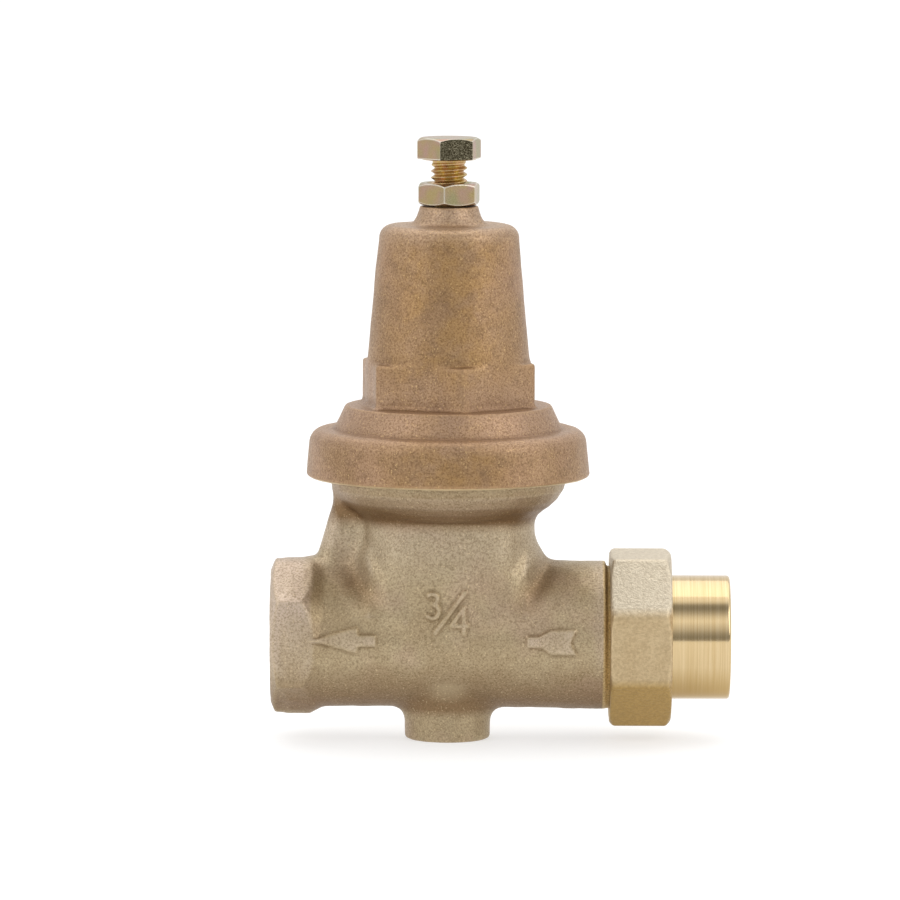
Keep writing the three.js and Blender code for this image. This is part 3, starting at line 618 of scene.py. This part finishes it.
def make_turned_parts():
    """The turned inner pieces, as {CAD node: piece}."""
    button_z, plate_z = box_mm("spring_button")[0][2], box_mm("diaphragm_plate")[0][2]
    lip_z, holder_z = box_mm("seat_ring")[0][2], box_mm("disc_holder")[0][2]
    disc_low, disc_high = box_mm("seat_disc")
    cap_z, washer_z = box_mm("strainer_cap")[0][2], box_mm("diaphragm_washer")[0][2]
    small_z, ring_low, ring_high = box_mm("disc_washer")[0][2], *(c[2] for c in box_mm("friction_ring"))
    outlines = {
        "spring_button": [(0, button_z), (6.4, button_z), (7.2, button_z + 1), (7.2, 74.3), (7.5, 74.5),
                          (11.0, 74.5), (11.3, 74.8), (11.3, 76.2), (11.0, 76.5), (7.6, 76.5),
                          *arc((7.4, 78.0), 1.5, -95, -150, 5), (5.8, 79.5), (4.5, 79.5),
                          *arc((0, 81.7), 5.0, -28, -90, 7)],
        "diaphragm_plate": [(3.5, plate_z), (13.2, plate_z), *arc((13.0, plate_z + 1.0), 1.0, -80, 0, 5),
                            (14, 44.2), *arc((13.35, 44.1), 0.5, 30, 150, 5), (12.5, 43.2),
                            *arc((11.9, 43.0), 0.6, 0, -90, 5), (3.5, 42.4)],
        "diaphragm_washer": [(3.5, washer_z), (9, washer_z), (9.5, washer_z + 0.5), (9.5, 38.5),
                             (3.5, 38.5)],
        "seat_ring": [(5.6, lip_z + 0.2), *arc((5.95, lip_z + 0.35), 0.35, 200, 340, 6), (6.7, lip_z + 0.8),
                      (8, lip_z + 0.8), (8, 7.5), (7.8, 7.7), (5.9, 7.7), (5.6, 7.4)],
        "disc_holder": [(2.7, holder_z), (7.8, holder_z), (8.2, holder_z + 0.4), (8.2, -0.6), (8.0, -0.4),
                        (7.6, -0.4), (7.5, -0.5), (7.5, -2.9), (2.7, -2.9)],
        "disc_washer": [(2.7, small_z), (4.8, small_z), (5, small_z + 0.2), (5, small_z + 0.8),
                        (4.8, small_z + 1), (2.7, small_z + 1)],
        "strainer_cap": [(0, cap_z), (6.5, cap_z), (6.9, cap_z + 0.25), (7.3, cap_z), (8.2, cap_z),
                         (9.3, cap_z + 0.8), (9.3, cap_z + 1.3), (0, cap_z + 1.3)],
        "seat_disc": [(2.7, disc_low[2]), (7.0, disc_low[2]), (7.2, disc_low[2] + 0.2),
                      (7.2, disc_high[2] - 0.3), (6.9, disc_high[2]), (6.35, disc_high[2]),
                      *arc((5.95, disc_high[2] + 0.1), 0.4, -15, -165, 6), (5.5, disc_high[2]),
                      (2.7, disc_high[2])],
        "friction_ring": [(22.0, ring_low), (25.9, ring_low), (26, ring_low + 0.1), (26, ring_high - 0.1),
                          (25.9, ring_high), (22.0, ring_high), (21.9, ring_high - 0.1),
                          (21.9, ring_low + 0.1)],
        "cage_o_ring": arc((9.1, 10), 0.75, 0, 345, 24),
        "stem_o_ring": arc((4.4, 26), 0.8, 0, 345, 24),
    }
    return {node: softened(lathe(f"turned_{node}", points), 0.1) for node, points in outlines.items()}


# ---- main spring and diaphragm ----
SPRING_R = 9.6
WIRE_R = 1.72
SPRING_TURNS = 5.5
CLOSED_TURNS = 0.75
CLOSED_PITCH = 3.9


def spring_path(t):
    """Centre of the spring's wire for t from 0 at the plate to 1 at the button."""
    low, high = (c[2] for c in box_mm("main_spring"))
    bottom, top = low + WIRE_R + 0.05, high - WIRE_R - 0.05
    closed = CLOSED_TURNS / SPRING_TURNS
    rise = CLOSED_TURNS * CLOSED_PITCH
    z = np.interp(t, [0, closed, 1 - closed, 1], [bottom, bottom + rise, top - rise, top])
    angle = 2 * math.pi * SPRING_TURNS * t
    return np.stack([SPRING_R * np.cos(angle), SPRING_R * np.sin(angle), z], axis=1)


def make_spring_half(name, start, end, steps=260, sides=20):
    """Part of the spring's wire, with the ends of the spring ground flat."""
    path = spring_path(np.linspace(start, end, steps))
    ahead = np.gradient(path, axis=0)
    ahead /= np.linalg.norm(ahead, axis=1, keepdims=True)
    out = path * (1, 1, 0) / SPRING_R
    up = np.cross(ahead, out)
    angles = np.arange(sides) * 2 * math.pi / sides
    points = path[:, None] + WIRE_R * (np.cos(angles)[None, :, None] * out[:, None]
                                       + np.sin(angles)[None, :, None] * up[:, None])
    low, high = (c[2] for c in box_mm("main_spring"))
    points[..., 2] = np.clip(points[..., 2], low + 0.5, high - 0.5)
    rows = np.arange(steps - 1)[:, None] * sides
    a = np.arange(sides)[None]
    b = (a + 1) % sides
    quads = np.stack([rows + a, rows + b, rows + sides + b, rows + sides + a], axis=2).reshape(-1, 4)
    half = np.arange(sides // 2 - 1)
    cap = np.stack([half, half + 1, sides - 2 - half, sides - 1 - half], axis=1)
    last = cap[:, ::-1] + (steps - 1) * sides
    return mesh_object(name, points.reshape(-1, 3), np.concatenate([quads, cap, last]).reshape(-1), 4)


DIAPHRAGM_SECTORS = 12


def make_diaphragm_sector(index):
    """A slice of the diaphragm with its moulded roll between the plate and the clamped rim."""
    low, high = (c[2] for c in box_mm("diaphragm"))
    radii = np.concatenate([[3.5], np.linspace(12, 23, 45), [26.0]])
    roll = 0.9 * np.clip(np.sin((radii - 14.4) / 6.8 * math.pi), 0, 1) * (radii > 14.4) * (radii < 21.2)
    under = np.stack([radii, low + 0.02 + roll], axis=1)
    over = np.stack([radii, high - 0.02 - 0.25 * (roll > 0) + roll], axis=1)[::-1]
    outline = np.concatenate([under, over])
    steps = 9
    width = 2 * math.pi / DIAPHRAGM_SECTORS
    angles = (index + np.linspace(-0.5, 0.5, steps)) * width
    r, z = outline[:, 0][None], outline[:, 1][None]
    points = np.stack([r * np.cos(angles)[:, None], r * np.sin(angles)[:, None],
                       np.broadcast_to(z, (steps, len(outline)))], axis=2).reshape(-1, 3)
    count = len(outline)
    rows = np.arange(steps - 1)[:, None] * count
    a = np.arange(count)[None]
    b = (a + 1) % count
    quads = np.stack([rows + a, rows + count + a, rows + count + b, rows + b], axis=2).reshape(-1, 4)
    half = np.arange(count // 2 - 1)
    cap = np.stack([half, half + 1, count - 2 - half, count - 1 - half], axis=1)
    last = cap[:, ::-1] + (steps - 1) * count
    corners = np.concatenate([quads, cap, last]).reshape(-1)
    return mesh_object(f"diaphragm_sector_{index + 1}", points, corners, 4)


# ---- materials ----
class Nodes:
    """A short way to build a material's nodes."""

    def __init__(self, name):
        self.material = bpy.data.materials.new(name)
        self.material.use_nodes = True
        self.tree = self.material.node_tree
        self.shader = self.tree.nodes["Principled BSDF"]
        self.place = self.add("ShaderNodeTexCoord").outputs["Object"]

    def add(self, kind, inputs=None, **settings):
        node = self.tree.nodes.new(kind)
        for key, value in settings.items():
            setattr(node, key, value)
        for key, value in (inputs or {}).items():
            self.put(node.inputs[key], value)
        return node

    def put(self, socket, value):
        if isinstance(value, bpy.types.NodeSocket):
            self.tree.links.new(value, socket)
        else:
            socket.default_value = value

    def noise(self, size_mm, detail=2, roughness=0.5, stretch=None):
        place = self.place
        if stretch:
            place = self.add("ShaderNodeMapping", {0: place, "Scale": stretch}).outputs[0]
        inputs = {"Vector": place, "Scale": 1 / (size_mm * MM), "Detail": detail,
                  "Roughness": roughness}
        return self.add("ShaderNodeTexNoise", inputs).outputs[0]

    def attribute(self, name):
        return self.add("ShaderNodeAttribute", attribute_name=name).outputs["Fac"]

    def height(self, axis):
        """How far along an axis the surface is, in metres."""
        return self.add("ShaderNodeSeparateXYZ", {0: self.place}).outputs[axis]

    def ramp(self, value, low, high, out_low=0.0, out_high=1.0):
        inputs = {0: value, "From Min": low, "From Max": high, "To Min": out_low, "To Max": out_high}
        return self.add("ShaderNodeMapRange", inputs).outputs[0]

    def math(self, operation, a, b):
        return self.add("ShaderNodeMath", {0: a, 1: b}, operation=operation).outputs[0]

    def mix(self, share, a, b, blend="MIX"):
        node = self.add("ShaderNodeMix", data_type="RGBA", blend_type=blend)
        for key, value in ((0, share), (6, a), (7, b)):
            self.put(node.inputs[key], value)
        return node.outputs[2]

    def bump(self, height, depth_mm, normal=None):
        inputs = {"Height": height, "Distance": depth_mm * MM, "Strength": 1.0}
        if normal:
            inputs["Normal"] = normal
        return self.add("ShaderNodeBump", inputs).outputs[0]

    def finish(self, **inputs):
        for key, value in inputs.items():
            self.put(self.shader.inputs[key.replace("_", " ")], value)
        return self.material


def rgb(red, green, blue):
    """A display colour from 0 to 255 as the linear colour that a shader takes."""
    parts = [c / 255 for c in (red, green, blue)]
    return (*[p / 12.92 if p <= 0.04045 else ((p + 0.055) / 1.055) ** 2.4 for p in parts], 1)


def cast_bronze(name, dark, mid, light, glint, blush, tint, painted_crease_shade):
    """Sand-cast bronze: blotches, the piece's tints with painted light and shade among them, a sandy grain,
    painted shade in concave corners, edges lighter partly from wear and partly as painted highlights, and
    bright specks of metal with painted glints.
    """
    n = Nodes(name)
    edge = n.attribute("edge")
    colour = n.mix(n.ramp(n.noise(9, 3, 0.55), 0.35, 0.65), mid, light)
    colour = n.mix(n.ramp(n.noise(14, 2), 0.50, 0.66, 0, 0.5), colour, blush)
    colour = tint(n, colour)
    grain = n.noise(0.42, 3, 0.7)
    colour = n.mix(n.ramp(grain, 0.56, 0.36, 0, 0.55), colour, dark)
    # painted shade: darker in concave corners and round the foot of the cast marks
    colour = n.mix(n.ramp(edge, -0.015, -0.12, 0, painted_crease_shade), colour, dark)
    # lighter on convex edges: partly wear, partly painted highlight
    colour = n.mix(n.ramp(edge, 0.03, 0.22, 0, 0.6), colour, light)
    # bright specks: exposed metal grains with painted glints
    speck = n.ramp(n.noise(0.36, 1), 0.64, 0.74, 0, 0.38)
    colour = n.mix(speck, colour, glint)
    rough = n.ramp(grain, 0.35, 0.65, 0.54, 0.38)
    bump = n.bump(n.noise(0.9, 3, 0.6), 0.05)
    bump = n.bump(grain, 0.05, bump)
    return n, colour, {"Roughness": rough, "Normal": bump, "Metallic": 0.75}


def body_tint_and_painted_light(n, colour):
    """Browner painted shade beside the column, under the bowl and under the run; paler bulges, partly wear
    and partly painted highlight; and a paler painted highlight on top of the port.
    """
    z = n.height("Z")
    saddle = n.add("ShaderNodeVectorMath", {0: n.place}, operation="ABSOLUTE").outputs[0]
    placing = {0: saddle, "Location": (SADDLE_HOLLOW[0] * MM, 0, SADDLE_HOLLOW[1] * MM),
               "Rotation": (0, SADDLE_LEAN, 0), "Scale": (1, 100, 2.2)}
    saddle = n.add("ShaderNodeMapping", placing, vector_type="TEXTURE").outputs[0]
    reach = n.add("ShaderNodeVectorMath", {0: saddle}, operation="LENGTH").outputs["Value"]
    # painted shade, browner: in the hollows beside the column, under the bowl's overhang and under the run
    hollow = n.ramp(reach, 4.5 * MM, 0.5 * MM, 0, 0.75)
    bowl = n.math("MULTIPLY", n.ramp(z, 24 * MM, 26.5 * MM, 0, 0.9), n.ramp(z, 36 * MM, 29 * MM))
    under = n.math("MULTIPLY", n.ramp(z, -4 * MM, -13 * MM, 0, 0.8), n.ramp(z, -17 * MM, -15 * MM))
    colour = n.mix(n.math("MAXIMUM", hollow, n.math("MAXIMUM", bowl, under)), colour, rgb(126, 96, 64))
    panel = n.math("MULTIPLY", n.ramp(z, 12 * MM, 20 * MM, 0, 0.4), n.ramp(z, 27 * MM, 24 * MM))
    colour = n.mix(panel, colour, rgb(196, 180, 158))
    # paler on the bulges: partly wear, partly painted highlight
    fillet = n.ramp(n.attribute("hollow"), 0.22, 0.6, 0, 0.6)
    fillet = n.math("MULTIPLY", fillet, n.ramp(z, -8 * MM, -4 * MM))
    colour = n.mix(fillet, colour, rgb(206, 188, 168))
    thread_start = n.ramp(n.height("X"), (RUN_INLET_X - 0.7) * MM, (RUN_INLET_X - 0.3) * MM)
    colour = n.mix(thread_start, colour, rgb(206, 178, 124))
    # painted highlight: paler and pinker towards the top of the port
    port_top_highlight = n.math("MULTIPLY", n.ramp(n.height("X"), -29 * MM, -32 * MM, 0, 0.6),
                        n.ramp(z, -10 * MM, 8 * MM))
    return n.mix(port_top_highlight, colour, rgb(206, 186, 170))


def body_bronze():
    n, colour, rest = cast_bronze("body_bronze", rgb(112, 92, 62), rgb(172, 152, 120), rgb(184, 166, 134),
                                  rgb(240, 218, 176), rgb(184, 158, 136), body_tint_and_painted_light, 0.45)
    return n.finish(Base_Color=colour, **rest)


def bell_tint_and_painted_light(n, colour):
    """Golden down the middle as painted reflection, with the sides left paler; paler and pinker on the
    shoulder and crown as painted light from above; mottled all over; and darker in the hollows, partly
    patina and partly painted shade.
    """
    z = n.height("Z")
    across = n.add("ShaderNodeVectorMath", {0: n.place}, operation="ABSOLUTE").outputs[0]
    across = n.add("ShaderNodeSeparateXYZ", {0: across}).outputs["X"]
    # painted reflection: golden down the middle, leaving the sides paler
    gold = n.math("MULTIPLY", n.ramp(across, 16 * MM, 6 * MM), n.ramp(n.noise(7, 3, 0.6), 0.4, 0.6, 0, 0.8))
    colour = n.mix(gold, colour, rgb(172, 136, 88))
    colour = n.mix(n.ramp(n.noise(3, 3, 0.65), 0.5, 0.68, 0, 0.4), colour, rgb(126, 100, 76))
    # painted light from above: paler and pinker on the shoulder and crown
    shoulder = n.math("MULTIPLY", n.ramp(z, 42 * MM, 45.5 * MM, 0, 0.55), n.ramp(z, 60 * MM, 50 * MM))
    colour = n.mix(shoulder, colour, rgb(181, 150, 126))
    crown = n.ramp(z, (CROWN_Z - 4) * MM, CROWN_Z * MM, 0, 0.45)
    colour = n.mix(crown, colour, rgb(204, 180, 158))
    # darker in the hollows: partly patina, partly painted shade
    return n.mix(n.ramp(n.attribute("hollow"), -0.3, -1.0, 0, 0.25), colour, rgb(124, 90, 60))


def bell_bronze():
    """The bell's casting, with its lower edge turned bright."""
    n, colour, rest = cast_bronze("bell_bronze", rgb(98, 68, 42), rgb(156, 125, 92), rgb(172, 140, 106),
                                  rgb(244, 208, 146), rgb(178, 144, 118), bell_tint_and_painted_light, 0.25)
    turned = n.ramp(n.height("Z"), (SKIRT_Z + 0.45) * MM, (SKIRT_Z + 0.2) * MM)
    colour = n.mix(turned, colour, rgb(216, 196, 156))
    return n.finish(Base_Color=colour, **rest)


def blasted_brass(name, mid, light, low, high):
    """Shot-blasted brass, pebbled all over, lighter on its edges partly from wear and partly as painted
    highlight, yellower on its low facets as painted shade and paler on its high ones as painted light.
    """
    n = Nodes(name)
    grain = n.noise(0.35, 2, 0.6)
    colour = n.mix(n.ramp(n.noise(6, 2), 0.3, 0.7, 0, 0.5), mid, light)
    # lighter on the edges: partly wear, partly painted highlight
    colour = n.mix(n.ramp(n.attribute("edge"), 0.02, 0.16, 0, 0.7), colour, light)
    # painted shade and light: yellower on the low facets, paler on the high ones
    z = n.height("Z")
    colour = n.mix(n.ramp(z, -7 * MM, -9 * MM), colour, low)
    colour = n.mix(n.ramp(z, 6.5 * MM, 8.5 * MM), colour, high)
    pebbles = n.noise(0.7, 2, 0.6)
    colour = n.mix(n.ramp(pebbles, 0.62, 0.38, 0, 0.22), colour, rgb(112, 88, 52))
    bump = n.bump(pebbles, 0.14)
    bump = n.bump(grain, 0.06, bump)
    return n.finish(Base_Color=colour, Roughness=n.ramp(grain, 0.3, 0.7, 0.5, 0.4), Normal=bump,
                    Metallic=0.9)


def turned_metal(name, mid, light, low, stretch, roughness):
    """Lathe-turned brass with fine rings across the stretch axis, with painted shade making it darker and
    yellower underneath.
    """
    n = Nodes(name)
    rings = n.noise(0.6, 3, 0.7, stretch)
    colour = n.mix(n.ramp(rings, 0.35, 0.65), mid, light)
    # painted shade: darker and yellower underneath
    colour = n.mix(n.ramp(n.height("Z"), -5 * MM, -13 * MM), colour, low)
    return n.finish(Base_Color=colour, Roughness=n.ramp(rings, 0.3, 0.7, roughness, roughness + 0.08),
                    Normal=n.bump(rings, 0.006), Metallic=1.0)


def zinc_plate(name, dark_facet=None, shank=0.0):
    """Yellow-passivated zinc, from olive to pink, with painted highlights on its edges.

    The facet argument is the direction of a facet, in degrees, that is painted dark olive with light
    streaks, and shank is how golden the metal is below the head.
    """
    n = Nodes(name)
    silver, gold = rgb(174, 165, 150), rgb(164, 145, 103)
    pink, green = rgb(168, 138, 122), rgb(146, 142, 104)
    colour = n.mix(n.ramp(n.noise(3.2, 1), 0.35, 0.65), pink, gold)
    colour = n.mix(n.ramp(n.noise(4.0, 1, 0.5, (1, 1, 0.6)), 0.45, 0.65, 0, 0.8), colour, green)
    # painted highlight on the edges
    colour = n.mix(n.ramp(n.attribute("edge"), 0.01, 0.07), colour, rgb(228, 224, 212))
    gilt = n.mix(n.ramp(n.noise(1.6, 2), 0.4, 0.6), rgb(190, 164, 96), rgb(190, 152, 110))
    colour = n.mix(n.ramp(n.height("Z"), (HEAD_Z + 0.1) * MM, (HEAD_Z - 0.1) * MM, 0, shank), colour, gilt)
    colour = n.mix(n.ramp(n.noise(0.5, 3, 0.7, (1, 1, 3)), 0.55, 0.75, 0, 0.5), colour, silver)
    scratch = n.noise(0.35, 4, 0.75, (1, 1, 2.5))
    # a facet painted dark olive with light streaks
    if dark_facet is not None:
        facing = n.math("MULTIPLY", n.height("X"), math.cos(math.radians(dark_facet)))
        facing = n.math("ADD", facing, n.math("MULTIPLY", n.height("Y"), math.sin(math.radians(dark_facet))))
        facet = n.ramp(facing, (SCREW_FLATS / 2 - 0.12) * MM, (SCREW_FLATS / 2 - 0.06) * MM)
        dark_facet_colour = n.mix(n.ramp(scratch, 0.50, 0.68), rgb(60, 54, 38), rgb(186, 178, 150))
        colour = n.mix(facet, colour, dark_facet_colour)
    bump = n.bump(scratch, 0.01)
    return n.finish(Base_Color=colour, Roughness=n.ramp(scratch, 0.3, 0.7, 0.2, 0.4), Normal=bump,
                    Metallic=1.0)


def plain_surface(name, low, high, size_mm, roughness, metallic=0.0, depth_mm=0.02):
    """A fine mottled surface, for rubber, nylon and machined inner pieces."""
    n = Nodes(name)
    grain = n.noise(size_mm, 3)
    colour = n.mix(n.ramp(grain, 0.3, 0.7), low, high)
    return n.finish(Base_Color=colour, Roughness=n.ramp(grain, 0.3, 0.7, roughness, roughness + 0.12),
                    Normal=n.bump(grain, depth_mm), Metallic=metallic)


BODY = body_bronze()
BELL = bell_bronze()
# the last two colours are painted shade on the low facets and painted light on the high ones
NUT_BRASS = blasted_brass("blasted_brass", rgb(195, 172, 134), rgb(209, 188, 151), rgb(178, 148, 92),
                          rgb(212, 200, 178))
# the third colour is painted shade underneath
TURNED_BRASS = turned_metal("turned_brass", rgb(201, 175, 129), rgb(216, 193, 152), rgb(178, 147, 88),
                            (1.5, 0.02, 0.02), 0.08)
ZINC = zinc_plate("zinc_plate")
DARK_FACET_ZINC = zinc_plate("dark_facet_zinc_plate", HEAD_CORNER + 30, 0.92)
STEEL = plain_surface("inner_steel", rgb(150, 152, 154), rgb(178, 180, 182), 0.6, 0.25, 1.0, 0.004)
SPRING_STEEL = plain_surface("spring_steel", rgb(84, 86, 90), rgb(112, 114, 118), 0.5, 0.3, 1.0, 0.01)
INNER_BRASS = plain_surface("inner_brass", rgb(190, 160, 106), rgb(214, 186, 132), 0.7, 0.25, 1.0, 0.004)
RUBBER = plain_surface("rubber", rgb(22, 22, 24), rgb(36, 36, 38), 0.4, 0.6)
FABRIC = plain_surface("fabric_rubber", rgb(34, 32, 30), rgb(54, 50, 46), 0.5, 0.75, 0.0, 0.06)
NYLON = plain_surface("nylon", rgb(222, 216, 202), rgb(236, 232, 222), 0.8, 0.4)


# ---- pieces ----
def place(piece, body, slot, material, *nodes):
    """Gives a piece its material, hides the CAD nodes it stands for and lets it ride on its body."""
    piece.data.materials.clear()
    piece.data.materials.append(material)
    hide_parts(*nodes)
    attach(piece, body)


place(make_body(), "valve_body", "body_bronze", BODY, "valve_body")
place(make_bell(), "valve_body", "bell_bronze", BELL, "bell_housing")
place(make_screw(), "adjusting_screw", "zinc_plate", DARK_FACET_ZINC, "adjusting_screw")
place(make_lock_nut(), "lock_nut", "zinc_plate", ZINC, "lock_nut")
place(make_union_nut(), "union_nut", "cast_brass", NUT_BRASS, "union_nut")
place(make_tailpiece(), "tailpiece", "turned_brass", TURNED_BRASS, "union_tailpiece")

INNER_MATERIALS = {"steel": STEEL, "spring_steel": SPRING_STEEL, "cast_brass": INNER_BRASS,
                   "turned_brass": INNER_BRASS, "rubber": RUBBER, "fabric_rubber": FABRIC,
                   "nylon": NYLON}
SLOTS = {entry["node"]: entry["material_slot"] for entry in frame["record"]["subparts"]}
BODY_OF = {node: body for body, nodes in frame["record"]["behaviour"]["bodies"].items() for node in nodes}


def place_inner(piece, node):
    slot = SLOTS[node]
    place(piece, BODY_OF[node], slot, INNER_MATERIALS[slot], node)


def bend(piece, node):
    """Gives a piece its material, hides its CAD node and bakes its placement into its mesh."""
    piece.data.materials.append(INNER_MATERIALS[SLOTS[node]])
    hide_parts(node)
    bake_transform(piece)


def make_spring():
    """The spring in two halves: the lower one rides on the body the record gives the spring, and the upper
    one is baked where it is made.
    """
    lower = make_spring_half("spring_lower", 0, 0.5)
    place_inner(lower, "main_spring")
    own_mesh(lower)
    upper = make_spring_half("spring_upper", 0.5, 1)
    bend(upper, "main_spring")


place_inner(make_stem(), "plunger_stem")
place_inner(make_inner_nut("stem_nut", "plunger_nut", 11, STEM_HOLE_R, 1.0), "plunger_nut")
place_inner(make_inner_nut("foot_nut", "disc_nut", 8, FOOT_HOLE_R, 0.8), "disc_nut")
place_inner(make_spring_washer(), "plunger_lock_washer")
place_inner(make_cage(), "guide_cage")
place_inner(make_screen(), "strainer_screen")
place_inner(make_gasket(), "union_gasket")
for node, piece in make_turned_parts().items():
    place_inner(piece, node)
make_spring()
for sector in range(DIAPHRAGM_SECTORS):
    bend(make_diaphragm_sector(sector), "diaphragm")


# ---- stage ----
def make_floor():
    """A wide light table under the valve."""
    half_width, near, far = 6.0, -6.0, 12.0    # metres
    z = BASE_Z * MM
    points = [(-half_width, near, z), (half_width, near, z), (half_width, far, z), (-half_width, far, z)]
    mesh = bpy.data.meshes.new("floor")
    mesh.from_pydata(points, [], [(0, 1, 2, 3)])
    floor = bpy.data.objects.new("floor", mesh)
    bpy.context.collection.objects.link(floor)
    n = Nodes("pale_floor")
    shade = n.mix(n.ramp(n.noise(40, 2), 0.3, 0.7), (0.44, 0.44, 0.44, 1), (0.46, 0.46, 0.46, 1))
    floor.data.materials.append(n.finish(Base_Color=shade, Roughness=0.7, Emission_Color=(1, 1, 1, 1),
                                         Emission_Strength=0.58))


def area_light(name, place_m, target_m, size, power):
    light = bpy.data.lights.new(name, "AREA")
    light.shape = "RECTANGLE"
    light.size, light.size_y = size
    light.energy = power
    lamp = bpy.data.objects.new(name, light)
    lamp.location = place_m
    lamp.rotation_euler = (Vector(target_m) - Vector(place_m)).to_track_quat("-Z", "Y").to_euler()
    bpy.context.collection.objects.link(lamp)


# How bright the tent is on the camera's side, by the height of a direction: (0 level, 1 straight up).
TENT_BANDS = [(0.0, 0.46), (0.11, 0.34), (0.24, 0.50), (0.36, 0.78), (0.48, 1.0), (0.59, 1.22), (0.69, 1.0),
              (0.78, 0.62), (0.86, 0.34), (0.93, 0.36), (0.97, 0.9), (1.0, 1.2)]


def make_world():
    """A white tent round the valve, with softboxes and the gaps between them on the camera's side."""
    world = bpy.data.worlds.new("studio")
    world.use_nodes = True
    tree = world.node_tree
    direction = tree.nodes.new("ShaderNodeTexCoord").outputs["Generated"]
    parts = tree.nodes.new("ShaderNodeSeparateXYZ")
    tree.links.new(direction, parts.inputs[0])
    bands = tree.nodes.new("ShaderNodeValToRGB")
    tree.links.new(parts.outputs["Z"], bands.inputs[0])
    stops = bands.color_ramp.elements
    for i, (height, strength) in enumerate(TENT_BANDS):
        ends = {0: 0, len(TENT_BANDS) - 1: -1}
        stop = stops[ends[i]] if i in ends else stops.new(height)
        stop.color = (strength, strength, strength, 1)
    front = tree.nodes.new("ShaderNodeMapRange")
    front.interpolation_type = "SMOOTHSTEP"
    tree.links.new(parts.outputs["Y"], front.inputs["Value"])
    for key, value in (("From Min", -0.1), ("From Max", -0.4), ("To Min", 0.0), ("To Max", 1.0)):
        front.inputs[key].default_value = value
    shade = tree.nodes.new("ShaderNodeMix")
    shade.data_type = "RGBA"
    tree.links.new(front.outputs[0], shade.inputs[0])
    back = tree.nodes.new("ShaderNodeMapRange")
    tree.links.new(parts.outputs["Z"], back.inputs["Value"])
    for key, value in (("From Min", 0.7), ("From Max", 0.95), ("To Min", 1.0), ("To Max", 1.3)):
        back.inputs[key].default_value = value
    tree.links.new(back.outputs[0], shade.inputs[6])
    tree.links.new(bands.outputs[0], shade.inputs[7])
    tree.links.new(shade.outputs[2], tree.nodes["Background"].inputs["Color"])
    bpy.context.scene.world = world


def make_lights():
    middle = (0.01, 0, 0.045)
    area_light("left_softbox", (-0.9, -0.7, 0.6), middle, (0.6, 1.0), 2.3)
    area_light("right_softbox", (1.0, -0.6, 0.65), middle, (0.6, 1.0), 3.4)
    area_light("top_softbox", (0, 0.5, 1.2), middle, (2.0, 1.2), 5)
    make_world()


CAMERA_PLACE = Vector((-0.00016, -1.70, 0.218))
CAMERA_PITCH = math.radians(5.95)
CAMERA_ROLL = math.radians(-0.18)
CAMERA_LENS = 314.4


def make_camera():
    data = bpy.data.cameras.new("camera")
    data.sensor_width = 36
    data.lens = CAMERA_LENS
    camera = bpy.data.objects.new("camera", data)
    camera.location = CAMERA_PLACE
    camera.rotation_euler = (math.pi / 2 - CAMERA_PITCH, CAMERA_ROLL, 0)
    bpy.context.collection.objects.link(camera)
    bpy.context.scene.camera = camera


make_floor()
make_lights()
make_camera()
bpy.context.scene.view_settings.view_transform = "Standard"
